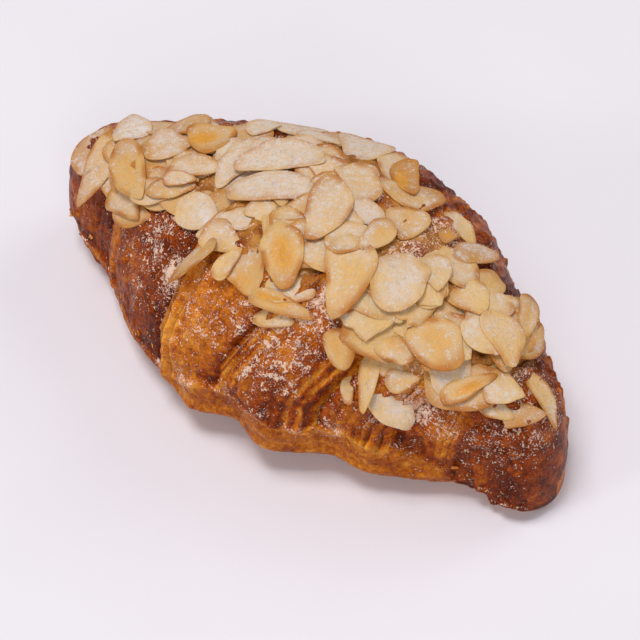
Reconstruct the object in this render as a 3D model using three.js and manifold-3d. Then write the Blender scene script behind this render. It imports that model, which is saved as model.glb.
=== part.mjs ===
// An almond croissant: one baked piece, a rolled pastry with almond flakes stuck to its top.
// Millimetres. X runs along the roll, -Y is the front, +Z is up, and the flat base lies on z = 0.

import * as THREE from "three";
import { mergeVertices } from "three/addons/utils/BufferGeometryUtils.js";
import Module from "manifold-3d";

// The roll: how far it reaches to the front and back of its middle line, and how tall it is
const LENGTH = 150;
const STATIONS = [
  { x: -75, front: 6, back: 15, height: 33 },
  { x: -52, front: 17.5, back: 27, height: 38.5 },
  { x: -24, front: 36.8, back: 39.2, height: 46 },
  { x: 4, front: 40.8, back: 42, height: 52 },
  { x: 18, front: 37.2, back: 40, height: 49.6 },
  { x: 32, front: 30.8, back: 33.8, height: 45.5 },
  { x: 52, front: 18, back: 21.5, height: 39 },
  { x: 63, front: 12.9, back: 14.4, height: 31.7 },
  { x: 75, front: 12, back: 8.5, height: 25 },
];
const TIP_BEND = 6; // both tips swing this far to the front
const TIP_ROUND = 10; // length over which a tip closes
const TIP_CLOSE = { far: 1.3, near: 0.4 }; // where each tip closes, as a share of the widest line's height
const TIP_UNDERCUT = 4; // the far tip's lower edge stands back by this much
const UNDERCUT_X = [60, 74]; // it starts and is full this far along
const UNDERCUT_Z = [5, 13]; // and it is full below the first height and ends at the second
const WIDEST_SHARE = 0.3; // height of the widest line, as a share of the full height
const UPPER_POWER = 2.2; // fullness of the section above that line
const LOWER_POWER = 2.6; // fullness of the section below it
const BASE_SINK = 1.25; // the lower half would sink below the base by this ratio, so the base is flat

// The wrapped layers: each crease crosses the front at x, and slants by lean towards the crown
const CREASES = [
  { x: -51, lean: 1 },
  { x: -21, lean: 1 },
  { x: -1.5, lean: 12 },
  { x: 24, lean: 11 },
  { x: 41, lean: 12 },
  { x: 54, lean: 3 },
];
const TOP_BAND = 3; // number of the band that was wrapped last and lies over the others
const CREASE_FOOT = 163; // angle around at which a crease's x is given
const LEAN_SPAN = 53; // angle over which it leans by its lean
const LIP = 3.2; // step where one layer ends on the next
const BAND_START = 0.25; // a band starts this share of a lip high, beside the one that lies over it
const TIP_START = 0.65; // and the near tip's band this share, because no lip ends on it
const CREASE_FILLET = 2.5; // width of the valley beside a lip
const EVENED = { share: 0.7, around: 52, span: 16, rise: 0.55 }; // where the back's steps are baked even
const LEDGE = 1.6; // the baked foot stands proud of the sides by this much

// The foot: a skirt round the base that the creases don't cross
const FOOT_SEAM = [
  [-75, 8],
  [-50, 10],
  [-30, 11.5],
  [-17, 14.5],
  [-7, 18.5],
  [3, 22],
  [11, 21.5],
  [17, 18],
  [25, 20],
  [31, 19.5],
  [43, 15],
  [50, 12],
  [56, 4],
  [75, 1],
]; // height of its upper edge at the front, by x
const FOOT_SEAM_BACK = 11; // and at the back
const FOOT_RISE = 0.8; // it stands as far out as this share of a lip
const FOOT_SHARE = 0.9; // how fully it hides the creases
const SEAM_BLEND = 2; // it blends into the bands over this much to each side of its edge
const SWELL_BLEND = 4; // its bulges fade over this much
const FOOT_SWELL = [
  [-60, 0],
  [-40, 0.8],
  [-24, -1.4],
  [-17, -0.6],
  [-8, 1.6],
  [3, -2.6],
  [14, 1.6],
  [27, -1.8],
  [38, 1.8],
  [48, 1.2],
  [57, -1.5],
  [66, 0],
]; // how far it bulges or draws in, by x

// The almond crust: flakes of sliced almond in a thin almond cream
const CREAM = 2; // thickness of the cream
const CREAM_FRONT = [140, 125]; // the cream thins out between these angles
const CREAM_BACK = [30, 45];
const FLAKE_THICK = 1.3;
const FLAKE_SIDES = 10;
const FLAKE_POINT = 0.3; // how much narrower the pointed end is
const LAYER_RISE = 0.8; // each layer of flakes lies this much higher
const SECTION_RADIUS = 38; // bend of a flake that lies on the roll
const LEVELLING = 0.35; // how far a flake on a slope lies back towards level

// Flakes that stand out: place along X, angle around, turn in the surface, length, width, layer
const PLACED_FLAKES = [
  [-65, 106, -84, 15, 9, 0],
  [-59.5, 119, 83, 20, 8.5, 1],
  [-58.5, 83, 89, 12, 8.5, 2],
  [-48.5, 113, 29, 20, 10, 3],
  [-46, 127, -5, 14, 8, 2],
  [-43, 131, -16, 13, 7, 1],
  [-38, 113, -50, 14, 7, 0],
  [-36, 108, -45, 13, 6, 1],
  [-37, 81, -34, 13, 10.5, 2],
  [-45, 90, -14, 12, 11, 1],
  [-34.5, 94, -31, 14, 7.5, 1],
  [-35.5, 103, -34, 8, 4.5, 2],
  [-53, 75, -28, 11, 7, 0],
  [-24, 112, 9, 14, 10, 1],
  [-14, 116, 0, 12, 8, 0],
  [-31, 64, -58, 10, 6, 0],
  [-17, 81, -23, 23, 11, 2],
  [-15, 66, -3, 12, 5, 1],
  [-23, 57, -25, 13, 6, 0],
  [-11.5, 92, -24, 25, 9.5, 1],
  [-4.5, 58, -28, 15, 11, 1],
  [2.5, 112, 47, 17, 10.5, 1],
  [4, 92, 70, 19.5, 11, 2],
  [12.5, 96, -48, 13, 9, 1],
  [9.5, 63, 51, 13, 7.5, 2],
  [20, 80, 49, 12, 9.5, 2],
  [17.5, 91, 86, 13, 6.5, 2],
  [-8.5, 123, -86, 10, 5, 1],
  [-3.5, 123, 49, 12.5, 9.5, 0],
  [8.5, 122, -24, 12.5, 7.5, 0],
  [8.5, 127.5, -11, 17, 5, 2],
  [8, 133, -22, 12, 4.5, 0],
  [18.5, 108, 69, 23, 11.5, 2],
  [27.5, 100, 71, 17, 13.5, 3],
  [27.5, 71, -84, 5.5, 4, 1],
  [27.5, 60, 9, 12, 6, 1],
  [35, 66, -71, 13, 7, 2],
  [32.5, 88, 23, 11, 8.5, 1],
  [42.5, 83, 0, 10.5, 9.5, 2],
  [47, 85, 82, 16, 9.5, 1],
  [53, 66, 50, 15, 5.5, 1],
  [25, 132, 47, 11, 6.5, 0],
  [32.5, 139, 73, 17, 5, 1],
  [29, 148, 70, 8.5, 3, 0],
  [43, 113, 34, 14, 13, 2],
  [35, 123, 9, 11, 7, 1],
  [39, 149, 39, 14, 9.5, 0],
  [39.5, 135, -20, 8.5, 5, 1],
  [53, 121, -25, 21.5, 12.5, 1],
  [53, 123, -58, 13.5, 5.5, 3],
  [59.5, 110, -6, 9, 8.5, 2],
  [60.5, 121, -12, 9, 5, 0],
  [65.5, 108, -65, 10.5, 5.5, 0],
  [66.5, 82, 10, 15, 5, 1],
  [53.5, 86, 27, 14.5, 9, 2],
  [49, 94, 25, 13, 8, 1],
];
const STANDING_FLAKE = [-16.5, 128, 112, 15, 8]; // lies on its edge in a crease
const STANDING_ROLL = 25;

// Other flakes fill the crown in rows, each drawn at random from these ranges
const ROW_ANGLES = [48, 61, 74, 87, 100, 113];
const ROW_PITCH = 10.5;
const ROW_REACH = 58;
const ROW_CLEAR = 6.5; // a filling flake keeps this far from the middle of a placed one
const FILL_LENGTH = [9, 18];
const FILL_ASPECT = [0.5, 0.8];

// Angles around between which the almonds lie, at the back and at the front, by x
const STREWN_BACK = [
  [-70, 80],
  [-40, 72],
  [-20, 62],
  [10, 60],
  [20, 70],
  [34, 70],
  [48, 64],
  [62, 72],
];
const STREWN_FRONT = [
  [-70, 112],
  [-53, 122],
  [-42, 112],
  [-28, 108],
  [-15, 114],
  [0, 120],
  [20, 122],
  [40, 134],
  [52, 116],
  [66, 104],
];

// Layers of crust that peeled at the far tip: from root to tip, the way each faces, and its width
const PEELED_CRUST = [
  { root: [-56, -3, 16.5], tip: [-71.5, -13.2, 12.5], facing: [-0.1, -0.5, 0.85], width: 8 },
  { root: [-50, -18, 7], tip: [-67, -12.4, 7.5], facing: [-0.35, -0.75, 0.55], width: 6 },
];
const PEELED_THICK = 1.8;
const PEELED_POINT = 0.6;

// Net of the roll
const NET_ALONG = 66;
const NET_AROUND = 36;
const NET_TIP_CROWDING = 0.55; // how much the rings crowd towards the tips
const NET_CROWN_CROWDING = 31; // degrees by which the net's lines crowd towards the crown

const wasm = await Module();
wasm.setup();

const radians = THREE.MathUtils.degToRad;
const { clamp, lerp, smoothstep } = THREE.MathUtils;

// A repeatable draw from 0 to 1 for a whole number
function draw(seed) {
  const wave = Math.sin(seed * 12.9898) * 43758.5453;
  return wave - Math.floor(wave);
}

// The slope of a size at a station, from its neighbours
function stationSlope(size, i) {
  const before = STATIONS[Math.max(i - 1, 0)];
  const after = STATIONS[Math.min(i + 1, STATIONS.length - 1)];
  return (after[size] - before[size]) / (after.x - before.x);
}

// A size of the roll at x, on a smooth curve through the stations
function sizeAt(size, x) {
  const after = clamp(STATIONS.findIndex((station) => station.x >= x), 1, STATIONS.length - 1);
  const low = STATIONS[after - 1];
  const high = STATIONS[after];
  const span = high.x - low.x;
  const t = clamp((x - low.x) / span, 0, 1);
  const ease = t * t * (3 - 2 * t);
  const lean = t * (1 - t) * span;
  const bulge = lean * (1 - t) * stationSlope(size, after - 1) - lean * t * stationSlope(size, after);
  return lerp(low[size], high[size], ease) + bulge;
}

function creaseX(crease, around) {
  return crease.x + crease.lean * clamp((CREASE_FOOT - around) / LEAN_SPAN, 0, 1.5);
}

// How far the wrapped layers stand over the lowest skin: each swells to its outer edge and ends in a lip
function layerRise(x, around) {
  const edges = CREASES.map((crease) => creaseX(crease, around));
  const band = edges.filter((edge) => x > edge).length;
  const low = band === 0 ? -LENGTH / 2 : edges[band - 1];
  const high = band === edges.length ? LENGTH / 2 : edges[band];
  const inner = band < TOP_BAND ? high - x : x - low;
  const outer = band < TOP_BAND ? x - low : high - x;
  const onTop = band === TOP_BAND;
  const isNearTip = band === edges.length;
  const hasLip = band > 0 && band < edges.length - 1;
  const lowest = isNearTip ? TIP_START : BAND_START;
  const swell = onTop ? 1 : lerp(lowest, 1, Math.pow(inner / (high - low), 0.8));
  const start = onTop || isNearTip ? 1 : clamp(inner / CREASE_FILLET, 0, 1);
  const toEdge = hasLip ? Math.min(outer, onTop ? inner : outer) : LIP * 3;
  const round = clamp(1 - toEdge / (LIP * 1.15), 0, 1);
  const rise = swell * Math.sqrt(start * (2 - start)) - (1 - Math.sqrt(1 - round * round));
  return LIP * Math.max(rise, 0);
}

function creamRise(around) {
  return CREAM * smoothstep(-around, -CREAM_FRONT[0], -CREAM_FRONT[1]) * smoothstep(around, ...CREAM_BACK);
}

// A value read from rows of x and value, on straight lines between them or on eased ones
function between(rows, x, isEased = false) {
  const found = rows.findIndex((row) => row[0] >= x);
  const after = found < 0 ? rows.length - 1 : Math.max(found, 1);
  const [low, high] = [rows[after - 1], rows[after]];
  const share = clamp((x - low[0]) / (high[0] - low[0]), 0, 1);
  return lerp(low[1], high[1], isEased ? smoothstep(share, 0, 1) : share);
}

function signedPower(value, power) {
  return Math.sign(value) * Math.pow(Math.abs(value), power);
}

// A point of the roll's skin at x; around is 0 at the back, 90 at the crown and 180 at the front
function skinPoint(x, around) {
  const share = x / (LENGTH / 2);
  const towardsTip = clamp((Math.abs(x) - LENGTH / 2 + TIP_ROUND) / TIP_ROUND, 0, 1);
  const closing = Math.sqrt(Math.max(1 - Math.pow(towardsTip, 2.2), 0));
  const upright = Math.sin(radians(around));
  const sideways = signedPower(Math.cos(radians(around)), 2 / UPPER_POWER);
  const above = upright > 0;
  const lift = signedPower(upright, 2 / (above ? UPPER_POWER : LOWER_POWER));
  const height = sizeAt("height", x);
  const widestZ = WIDEST_SHARE * height;
  const facing = around > 270 ? around - 360 : around;
  const plainZ = widestZ + (above ? height - widestZ : widestZ * BASE_SINK) * lift;
  const overSeam = plainZ - (facing > 90 ? between(FOOT_SEAM, x) : FOOT_SEAM_BACK);
  const foot = FOOT_SHARE * (1 - smoothstep(overSeam, -SEAM_BLEND, SEAM_BLEND));
  const swell = between(FOOT_SWELL, x, true) * (1 - smoothstep(overSeam, -SWELL_BLEND, SWELL_BLEND));
  const evened = EVENED.share * Math.exp(-(((facing - EVENED.around) / EVENED.span) ** 2));
  const wrapped = lerp(layerRise(x, facing), EVENED.rise * LIP, evened);
  const layers = lerp(wrapped, FOOT_RISE * LIP, foot) * smoothstep(lift, -0.75, 0.05);
  const relief = layers + swell + creamRise(facing) - LIP * 0.7;
  const ledge = LEDGE * smoothstep(-lift, 0.12, 0.3);
  const reach = sizeAt(sideways < 0 ? "front" : "back", x) + relief + ledge;
  const rise = above ? height - widestZ + relief : widestZ * BASE_SINK;
  const y = -TIP_BEND * share * share + reach * closing * sideways;
  const z = widestZ * lerp(x < 0 ? TIP_CLOSE.far : TIP_CLOSE.near, 1, closing) + rise * closing * lift;
  const undercut = TIP_UNDERCUT * smoothstep(-x, ...UNDERCUT_X) * (1 - smoothstep(z, ...UNDERCUT_Z));
  return new THREE.Vector3(x + undercut, y, Math.max(z, 0));
}

// The place of a flake: a point of the skin with its outward, lengthwise and downhill directions
function seat(x, around) {
  const step = 4;
  const turnStep = 6;
  const along = skinPoint(x + step, around).sub(skinPoint(x - step, around)).normalize();
  const downhill = skinPoint(x, around + turnStep).sub(skinPoint(x, around - turnStep)).normalize();
  const outward = new THREE.Vector3().crossVectors(downhill, along).normalize();
  outward.z += LEVELLING;
  outward.normalize();
  downhill.crossVectors(along, outward).normalize();
  along.crossVectors(outward, downhill);
  return { point: skinPoint(x, around), along, downhill, outward };
}

function solidOf(geometry) {
  geometry.deleteAttribute("normal");
  geometry.deleteAttribute("uv");
  const merged = mergeVertices(geometry, 1e-3);
  const vertProperties = new Float32Array(merged.attributes.position.array);
  const triVerts = new Uint32Array(merged.index.array);
  return new wasm.Manifold(new wasm.Mesh({ numProp: 3, vertProperties, triVerts }));
}

function rollSolid() {
  const net = new THREE.SphereGeometry(1, NET_AROUND, NET_ALONG);
  const { position, uv } = net.attributes;
  for (let i = 0; i < position.count; i += 1) {
    const even = 2 * uv.getY(i) - 1;
    const crowded = lerp(even, Math.sin((even * Math.PI) / 2), NET_TIP_CROWDING);
    const turn = uv.getX(i) * 360;
    const around = turn + NET_CROWN_CROWDING * Math.cos(radians(turn));
    const point = skinPoint((crowded * LENGTH) / 2, around % 360);
    position.setXYZ(i, point.x, point.y, point.z);
  }
  return solidOf(net);
}

// An almond's outline: an oval with one end drawn to a point
function almondShape(length, width, pointed) {
  const outline = [];
  for (let i = 0; i < FLAKE_SIDES; i += 1) {
    const angle = (i / FLAKE_SIDES) * 2 * Math.PI;
    const across = Math.sin(angle) * (1 - pointed * Math.cos(angle));
    outline.push(new THREE.Vector2((length / 2) * Math.cos(angle), (width / 2) * across));
  }
  return new THREE.Shape(outline);
}

// A flake that lies on the skin: turned in it, rolled about its length, bent with the roll, and raised
function flakeSolid({ x, around, turn, length, width, raised, thick, roll = 0, pointed = FLAKE_POINT }) {
  const plate = new THREE.ExtrudeGeometry(almondShape(length, width, pointed), {
    depth: thick,
    steps: 1,
    bevelEnabled: false,
  });
  const { point, along, downhill, outward } = seat(x, around);
  const lengthwise = along.clone().multiplyScalar(Math.cos(radians(turn)));
  lengthwise.addScaledVector(downhill, Math.sin(radians(turn)));
  const tilted = outward.clone().applyAxisAngle(lengthwise, radians(roll));
  const crosswise = new THREE.Vector3().crossVectors(tilted, lengthwise);
  const { position } = plate.attributes;
  for (let i = 0; i < position.count; i += 1) {
    const p = position.getX(i);
    const q = position.getY(i);
    const fall = (p * Math.sin(radians(turn)) - q * Math.cos(radians(turn))) ** 2 / (2 * SECTION_RADIUS);
    const vertex = point.clone().addScaledVector(lengthwise, p).addScaledVector(crosswise, q);
    vertex.addScaledVector(tilted, position.getZ(i) - thick / 2);
    vertex.addScaledVector(outward, raised - fall);
    position.setXYZ(i, vertex.x, vertex.y, vertex.z);
  }
  return solidOf(plate);
}

function placedFlakes() {
  return PLACED_FLAKES.map(([x, around, turn, length, width, layer]) =>
    flakeSolid({ x, around, turn, length, width, raised: 0.8 + layer * LAYER_RISE, thick: FLAKE_THICK }),
  );
}

function standingFlake() {
  const [x, around, turn, length, width] = STANDING_FLAKE;
  return flakeSolid({ x, around, turn, length, width, raised: 1, thick: FLAKE_THICK, roll: STANDING_ROLL });
}

// A leaf of peeled crust, pointed at its tip
function peeledLeaf({ root, tip, facing, width }) {
  const start = new THREE.Vector3(...root);
  const reach = new THREE.Vector3(...tip).sub(start);
  const length = reach.length();
  const lengthwise = reach.clone().normalize();
  const crosswise = new THREE.Vector3().crossVectors(new THREE.Vector3(...facing), lengthwise).normalize();
  const outward = new THREE.Vector3().crossVectors(lengthwise, crosswise);
  const leaf = new THREE.ExtrudeGeometry(almondShape(length, width, PEELED_POINT), {
    depth: PEELED_THICK,
    steps: 1,
    bevelEnabled: false,
  });
  leaf.translate(length / 2, 0, -PEELED_THICK / 2);
  leaf.applyMatrix4(new THREE.Matrix4().makeBasis(lengthwise, crosswise, outward).setPosition(start));
  return solidOf(leaf);
}

// Whether a placed flake already covers a spot of the crown
function isCovered(x, around) {
  const spot = skinPoint(x, around);
  return PLACED_FLAKES.some((flake) => skinPoint(flake[0], flake[1]).distanceTo(spot) < ROW_CLEAR);
}

// Rows of flakes in the free spots of the crown, each row shifted by half a pitch
function fillingFlakes() {
  const flakes = [];
  let seed = 0;
  ROW_ANGLES.forEach((rowAngle, row) => {
    for (let x = -ROW_REACH + (row % 2) * (ROW_PITCH / 2); x <= ROW_REACH; x += ROW_PITCH) {
      seed += 5;
      const around = rowAngle + 6 * (draw(seed) - 0.5);
      const isStrewn = around > between(STREWN_BACK, x) - 4 && around < between(STREWN_FRONT, x);
      if (!isStrewn || isCovered(x, around)) continue;
      const length = lerp(...FILL_LENGTH, draw(seed + 1));
      const width = length * lerp(...FILL_ASPECT, draw(seed + 2));
      const turn = 180 * draw(seed + 3);
      flakes.push(flakeSolid({ x, around, turn, length, width, raised: 0.8, thick: FLAKE_THICK }));
    }
  });
  return flakes;
}

// Everything fused: only the largest body is kept, with the hollows that fusing closed filled
function fuse(solids) {
  const joined = solids.reduce((whole, solid) => whole.add(solid));
  const bodies = joined.decompose().filter((body) => body.volume() > 0);
  bodies.sort((a, b) => b.volume() - a.volume());
  return bodies[0];
}

function geometryOf(solid) {
  const mesh = solid.getMesh();
  const geometry = new THREE.BufferGeometry();
  geometry.setAttribute("position", new THREE.BufferAttribute(mesh.vertProperties, 3));
  geometry.setIndex(new THREE.BufferAttribute(mesh.triVerts, 1));
  return geometry;
}

const bakedCrust = new THREE.MeshStandardMaterial({ color: 0xb07238, roughness: 0.5, metalness: 0 });

const peeledLeaves = PEELED_CRUST.map(peeledLeaf);
const croissant = new THREE.Mesh(
  geometryOf(fuse([rollSolid(), ...peeledLeaves, ...fillingFlakes(), ...placedFlakes(), standingFlake()])),
  bakedCrust,
);
croissant.name = "croissant";

const almondCroissant = new THREE.Group();
almondCroissant.add(croissant);

export default almondCroissant;
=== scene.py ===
"""Almond croissant, dressed: a baked roll, sliced almonds, peeled crust and icing sugar on the solid."""

import logging
import math
from dataclasses import dataclass, field, replace
from enum import Enum, IntEnum
from itertools import count, product

import bpy
import numpy as np
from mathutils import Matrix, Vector


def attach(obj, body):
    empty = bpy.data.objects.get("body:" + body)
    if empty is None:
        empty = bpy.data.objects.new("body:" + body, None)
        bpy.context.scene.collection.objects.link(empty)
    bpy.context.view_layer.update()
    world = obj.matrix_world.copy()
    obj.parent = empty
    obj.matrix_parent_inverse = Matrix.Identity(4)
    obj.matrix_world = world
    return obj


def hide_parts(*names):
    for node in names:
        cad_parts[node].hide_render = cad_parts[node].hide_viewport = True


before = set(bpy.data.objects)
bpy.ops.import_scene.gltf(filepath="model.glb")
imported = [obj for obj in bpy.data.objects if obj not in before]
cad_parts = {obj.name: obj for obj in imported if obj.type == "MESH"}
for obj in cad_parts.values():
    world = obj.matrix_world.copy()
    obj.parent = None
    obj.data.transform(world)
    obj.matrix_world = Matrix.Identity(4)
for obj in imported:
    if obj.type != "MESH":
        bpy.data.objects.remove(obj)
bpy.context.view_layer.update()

# Two numbers that belong together, such as where a fade starts and ends, and three, such as a place
Pair = tuple[float, float]
Triple = tuple[float, float, float]

MM = 0.001
NODE = "croissant"
BODY = "root"
LOG = logging.getLogger("croissant")
# Stretches a wave so far that its fractions look drawn by chance
SCATTER = 43758.5453
# About one turn in radians, for angles that are drawn
ONE_TURN = 6.3
# Noise that is rough at every size, as baked and powdered surfaces are
FRACTAL = {"Detail": 3.0, "Roughness": 0.62}
# Nodes that mix two colours, shade a colour, or add a share of one value to another
BLEND = {"data_type": "RGBA"}
SHADE = {"data_type": "RGBA", "blend_type": "MULTIPLY"}
ADD_SHARE = {"operation": "MULTIPLY_ADD"}
# Sets each band's streaks and pleats apart from its neighbour's
BAND_SHIFT = 9.0
# The layer of flakes that are strewn under the placed ones
BENEATH = -1


def linear(hex_colour: str) -> tuple[float, float, float, float]:
    """Turns an sRGB hex colour into linear light.

    Args:
        hex_colour: The colour as six hex digits.

    Returns:
        Linear red, green, blue and full alpha.
    """
    shares = [int(hex_colour[i : i + 2], 16) / 255 for i in (0, 2, 4)]
    light = [s / 12.92 if s <= 0.04045 else ((s + 0.055) / 1.055) ** 2.4 for s in shares]
    return (*light, 1.0)


def per_mm(size: float) -> float:
    """Gives the texture scale whose features are size millimetres wide."""
    return 1.0 / (size * MM)


def smoothstep(low: float, high: float, value: np.ndarray) -> np.ndarray:
    """Eases from 0 to 1 as value goes from low to high."""
    t = np.clip((value - low) / (high - low), 0, 1)
    return t * t * (3 - 2 * t)


def hump(away: np.ndarray, width: float) -> np.ndarray:
    """Gives a smooth hump: 1 where away is nought, fading over its width to each side."""
    return np.exp(-((away / width) ** 2))


def draw(seed: int) -> float:
    """Draws a repeatable number from 0 to 1 for a whole number."""
    wave = math.sin(seed * 12.9898) * SCATTER
    return wave - math.floor(wave)


def value_noise(points: np.ndarray, size: float, seed: int) -> np.ndarray:
    """Samples smooth noise whose lumps are all of one size.

    Args:
        points: Places to sample, with x, y and z in the last axis.
        size: Width of a lump, in the points' unit.
        seed: Number that picks the pattern.

    Returns:
        Noise from -1 to 1 for each point.
    """
    scaled = points / size
    cell = np.floor(scaled)
    share = scaled - cell
    share = share * share * (3 - 2 * share)
    total = np.zeros(points.shape[:-1])
    for corner in product((0, 1), repeat=3):
        wave = np.sin((cell + corner) @ np.array([127.1, 311.7, 74.7]) + seed * 19.19) * SCATTER
        weight = np.prod(np.where(corner, share, 1 - share), axis=-1)
        total += weight * (wave - np.floor(wave))
    return 2 * total - 1


def layered_noise(points: np.ndarray, size: float, seed: int, octaves: int = 3) -> np.ndarray:
    """Adds noises of halving size and strength.

    Args:
        points: Places to sample, with x, y and z in the last axis.
        size: Width of the largest lumps.
        seed: Number that picks the pattern.
        octaves: How many sizes are added.

    Returns:
        Noise from about -1 to 1 for each point.
    """
    total = np.zeros(points.shape[:-1])
    for octave in range(octaves):
        total += value_noise(points, size / 2**octave, seed + octave) / 2**octave
    return total / (2 - 2.0 ** (1 - octaves))


def unit(vectors: np.ndarray) -> np.ndarray:
    """Scales vectors in the last axis to length 1."""
    return vectors / np.maximum(np.linalg.norm(vectors, axis=-1, keepdims=True), 1e-9)


@dataclass(frozen=True)
class Pattern:
    """Smooth uneven lumps: their width, strength and seed, and how many halving sizes are added."""

    size: float
    strength: float
    seed: int
    octaves: int = 1

    def at(self, points: np.ndarray) -> np.ndarray:
        """Samples the pattern at points in the unit of its width."""
        return self.strength * layered_noise(points, self.size, self.seed, self.octaves)


def add_node(
    tree: bpy.types.NodeTree, kind: str, inputs: dict[int | str, object] | None = None, **settings: object
) -> bpy.types.Node:
    """Adds a shader node, sets it up and fills or links its inputs.

    Args:
        tree: The material's node tree.
        kind: The node's type, without the words that all of them begin with.
        inputs: A value, a socket or a node, whose first open output is linked, by input name or number.
        **settings: The node's own properties.

    Returns:
        The new node.
    """
    node = tree.nodes.new("ShaderNode" + kind)
    for name, value in settings.items():
        setattr(node, name, value)
    for key, value in (inputs or {}).items():
        if isinstance(value, bpy.types.Node):
            value = next(socket for socket in value.outputs if socket.enabled)
        if isinstance(value, bpy.types.NodeSocket):
            tree.links.new(value, node.inputs[key])
        else:
            node.inputs[key].default_value = value
    return node


def new_material(name: str) -> tuple[bpy.types.Material, bpy.types.NodeTree]:
    """Makes an empty node material.

    Args:
        name: The material's name.

    Returns:
        The material and its cleared node tree.
    """
    material = bpy.data.materials.new(name)
    material.use_nodes = True
    material.node_tree.nodes.clear()
    return material, material.node_tree


def make_piece(
    name: str,
    points: np.ndarray,
    face_groups: list[np.ndarray],
    material: bpy.types.Material,
    tints: dict[str, np.ndarray] | None = None,
) -> bpy.types.Object:
    """Makes a mesh piece that rides on the body and stands for the solid.

    Args:
        name: The piece's name.
        points: Vertices in millimetres.
        face_groups: Arrays of vertex numbers, one array for each count of corners.
        material: The finish.
        tints: Four numbers for each vertex, by attribute name.

    Returns:
        The new object.
    """
    mesh = bpy.data.meshes.new(name)
    corners = np.concatenate([group.ravel() for group in face_groups])
    sizes = np.concatenate([np.full(len(group), group.shape[1]) for group in face_groups])
    mesh.vertices.add(len(points))
    mesh.vertices.foreach_set("co", (points * MM).astype(np.float32).ravel())
    mesh.loops.add(len(corners))
    mesh.loops.foreach_set("vertex_index", corners.astype(np.int32))
    mesh.polygons.add(len(sizes))
    mesh.polygons.foreach_set("loop_start", (np.cumsum(sizes) - sizes).astype(np.int32))
    mesh.update(calc_edges=True)
    for tint, values in (tints or {}).items():
        layer = mesh.attributes.new(tint, "FLOAT_COLOR", "POINT")
        layer.data.foreach_set("color", values.astype(np.float32).ravel())
    mesh.shade_smooth()
    mesh.materials.append(material)
    piece = bpy.data.objects.new(name, mesh)
    bpy.context.scene.collection.objects.link(piece)
    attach(piece, BODY)
    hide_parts(NODE)
    LOG.info("%s: %d vertices, %d faces", name, len(points), len(sizes))
    return piece


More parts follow.
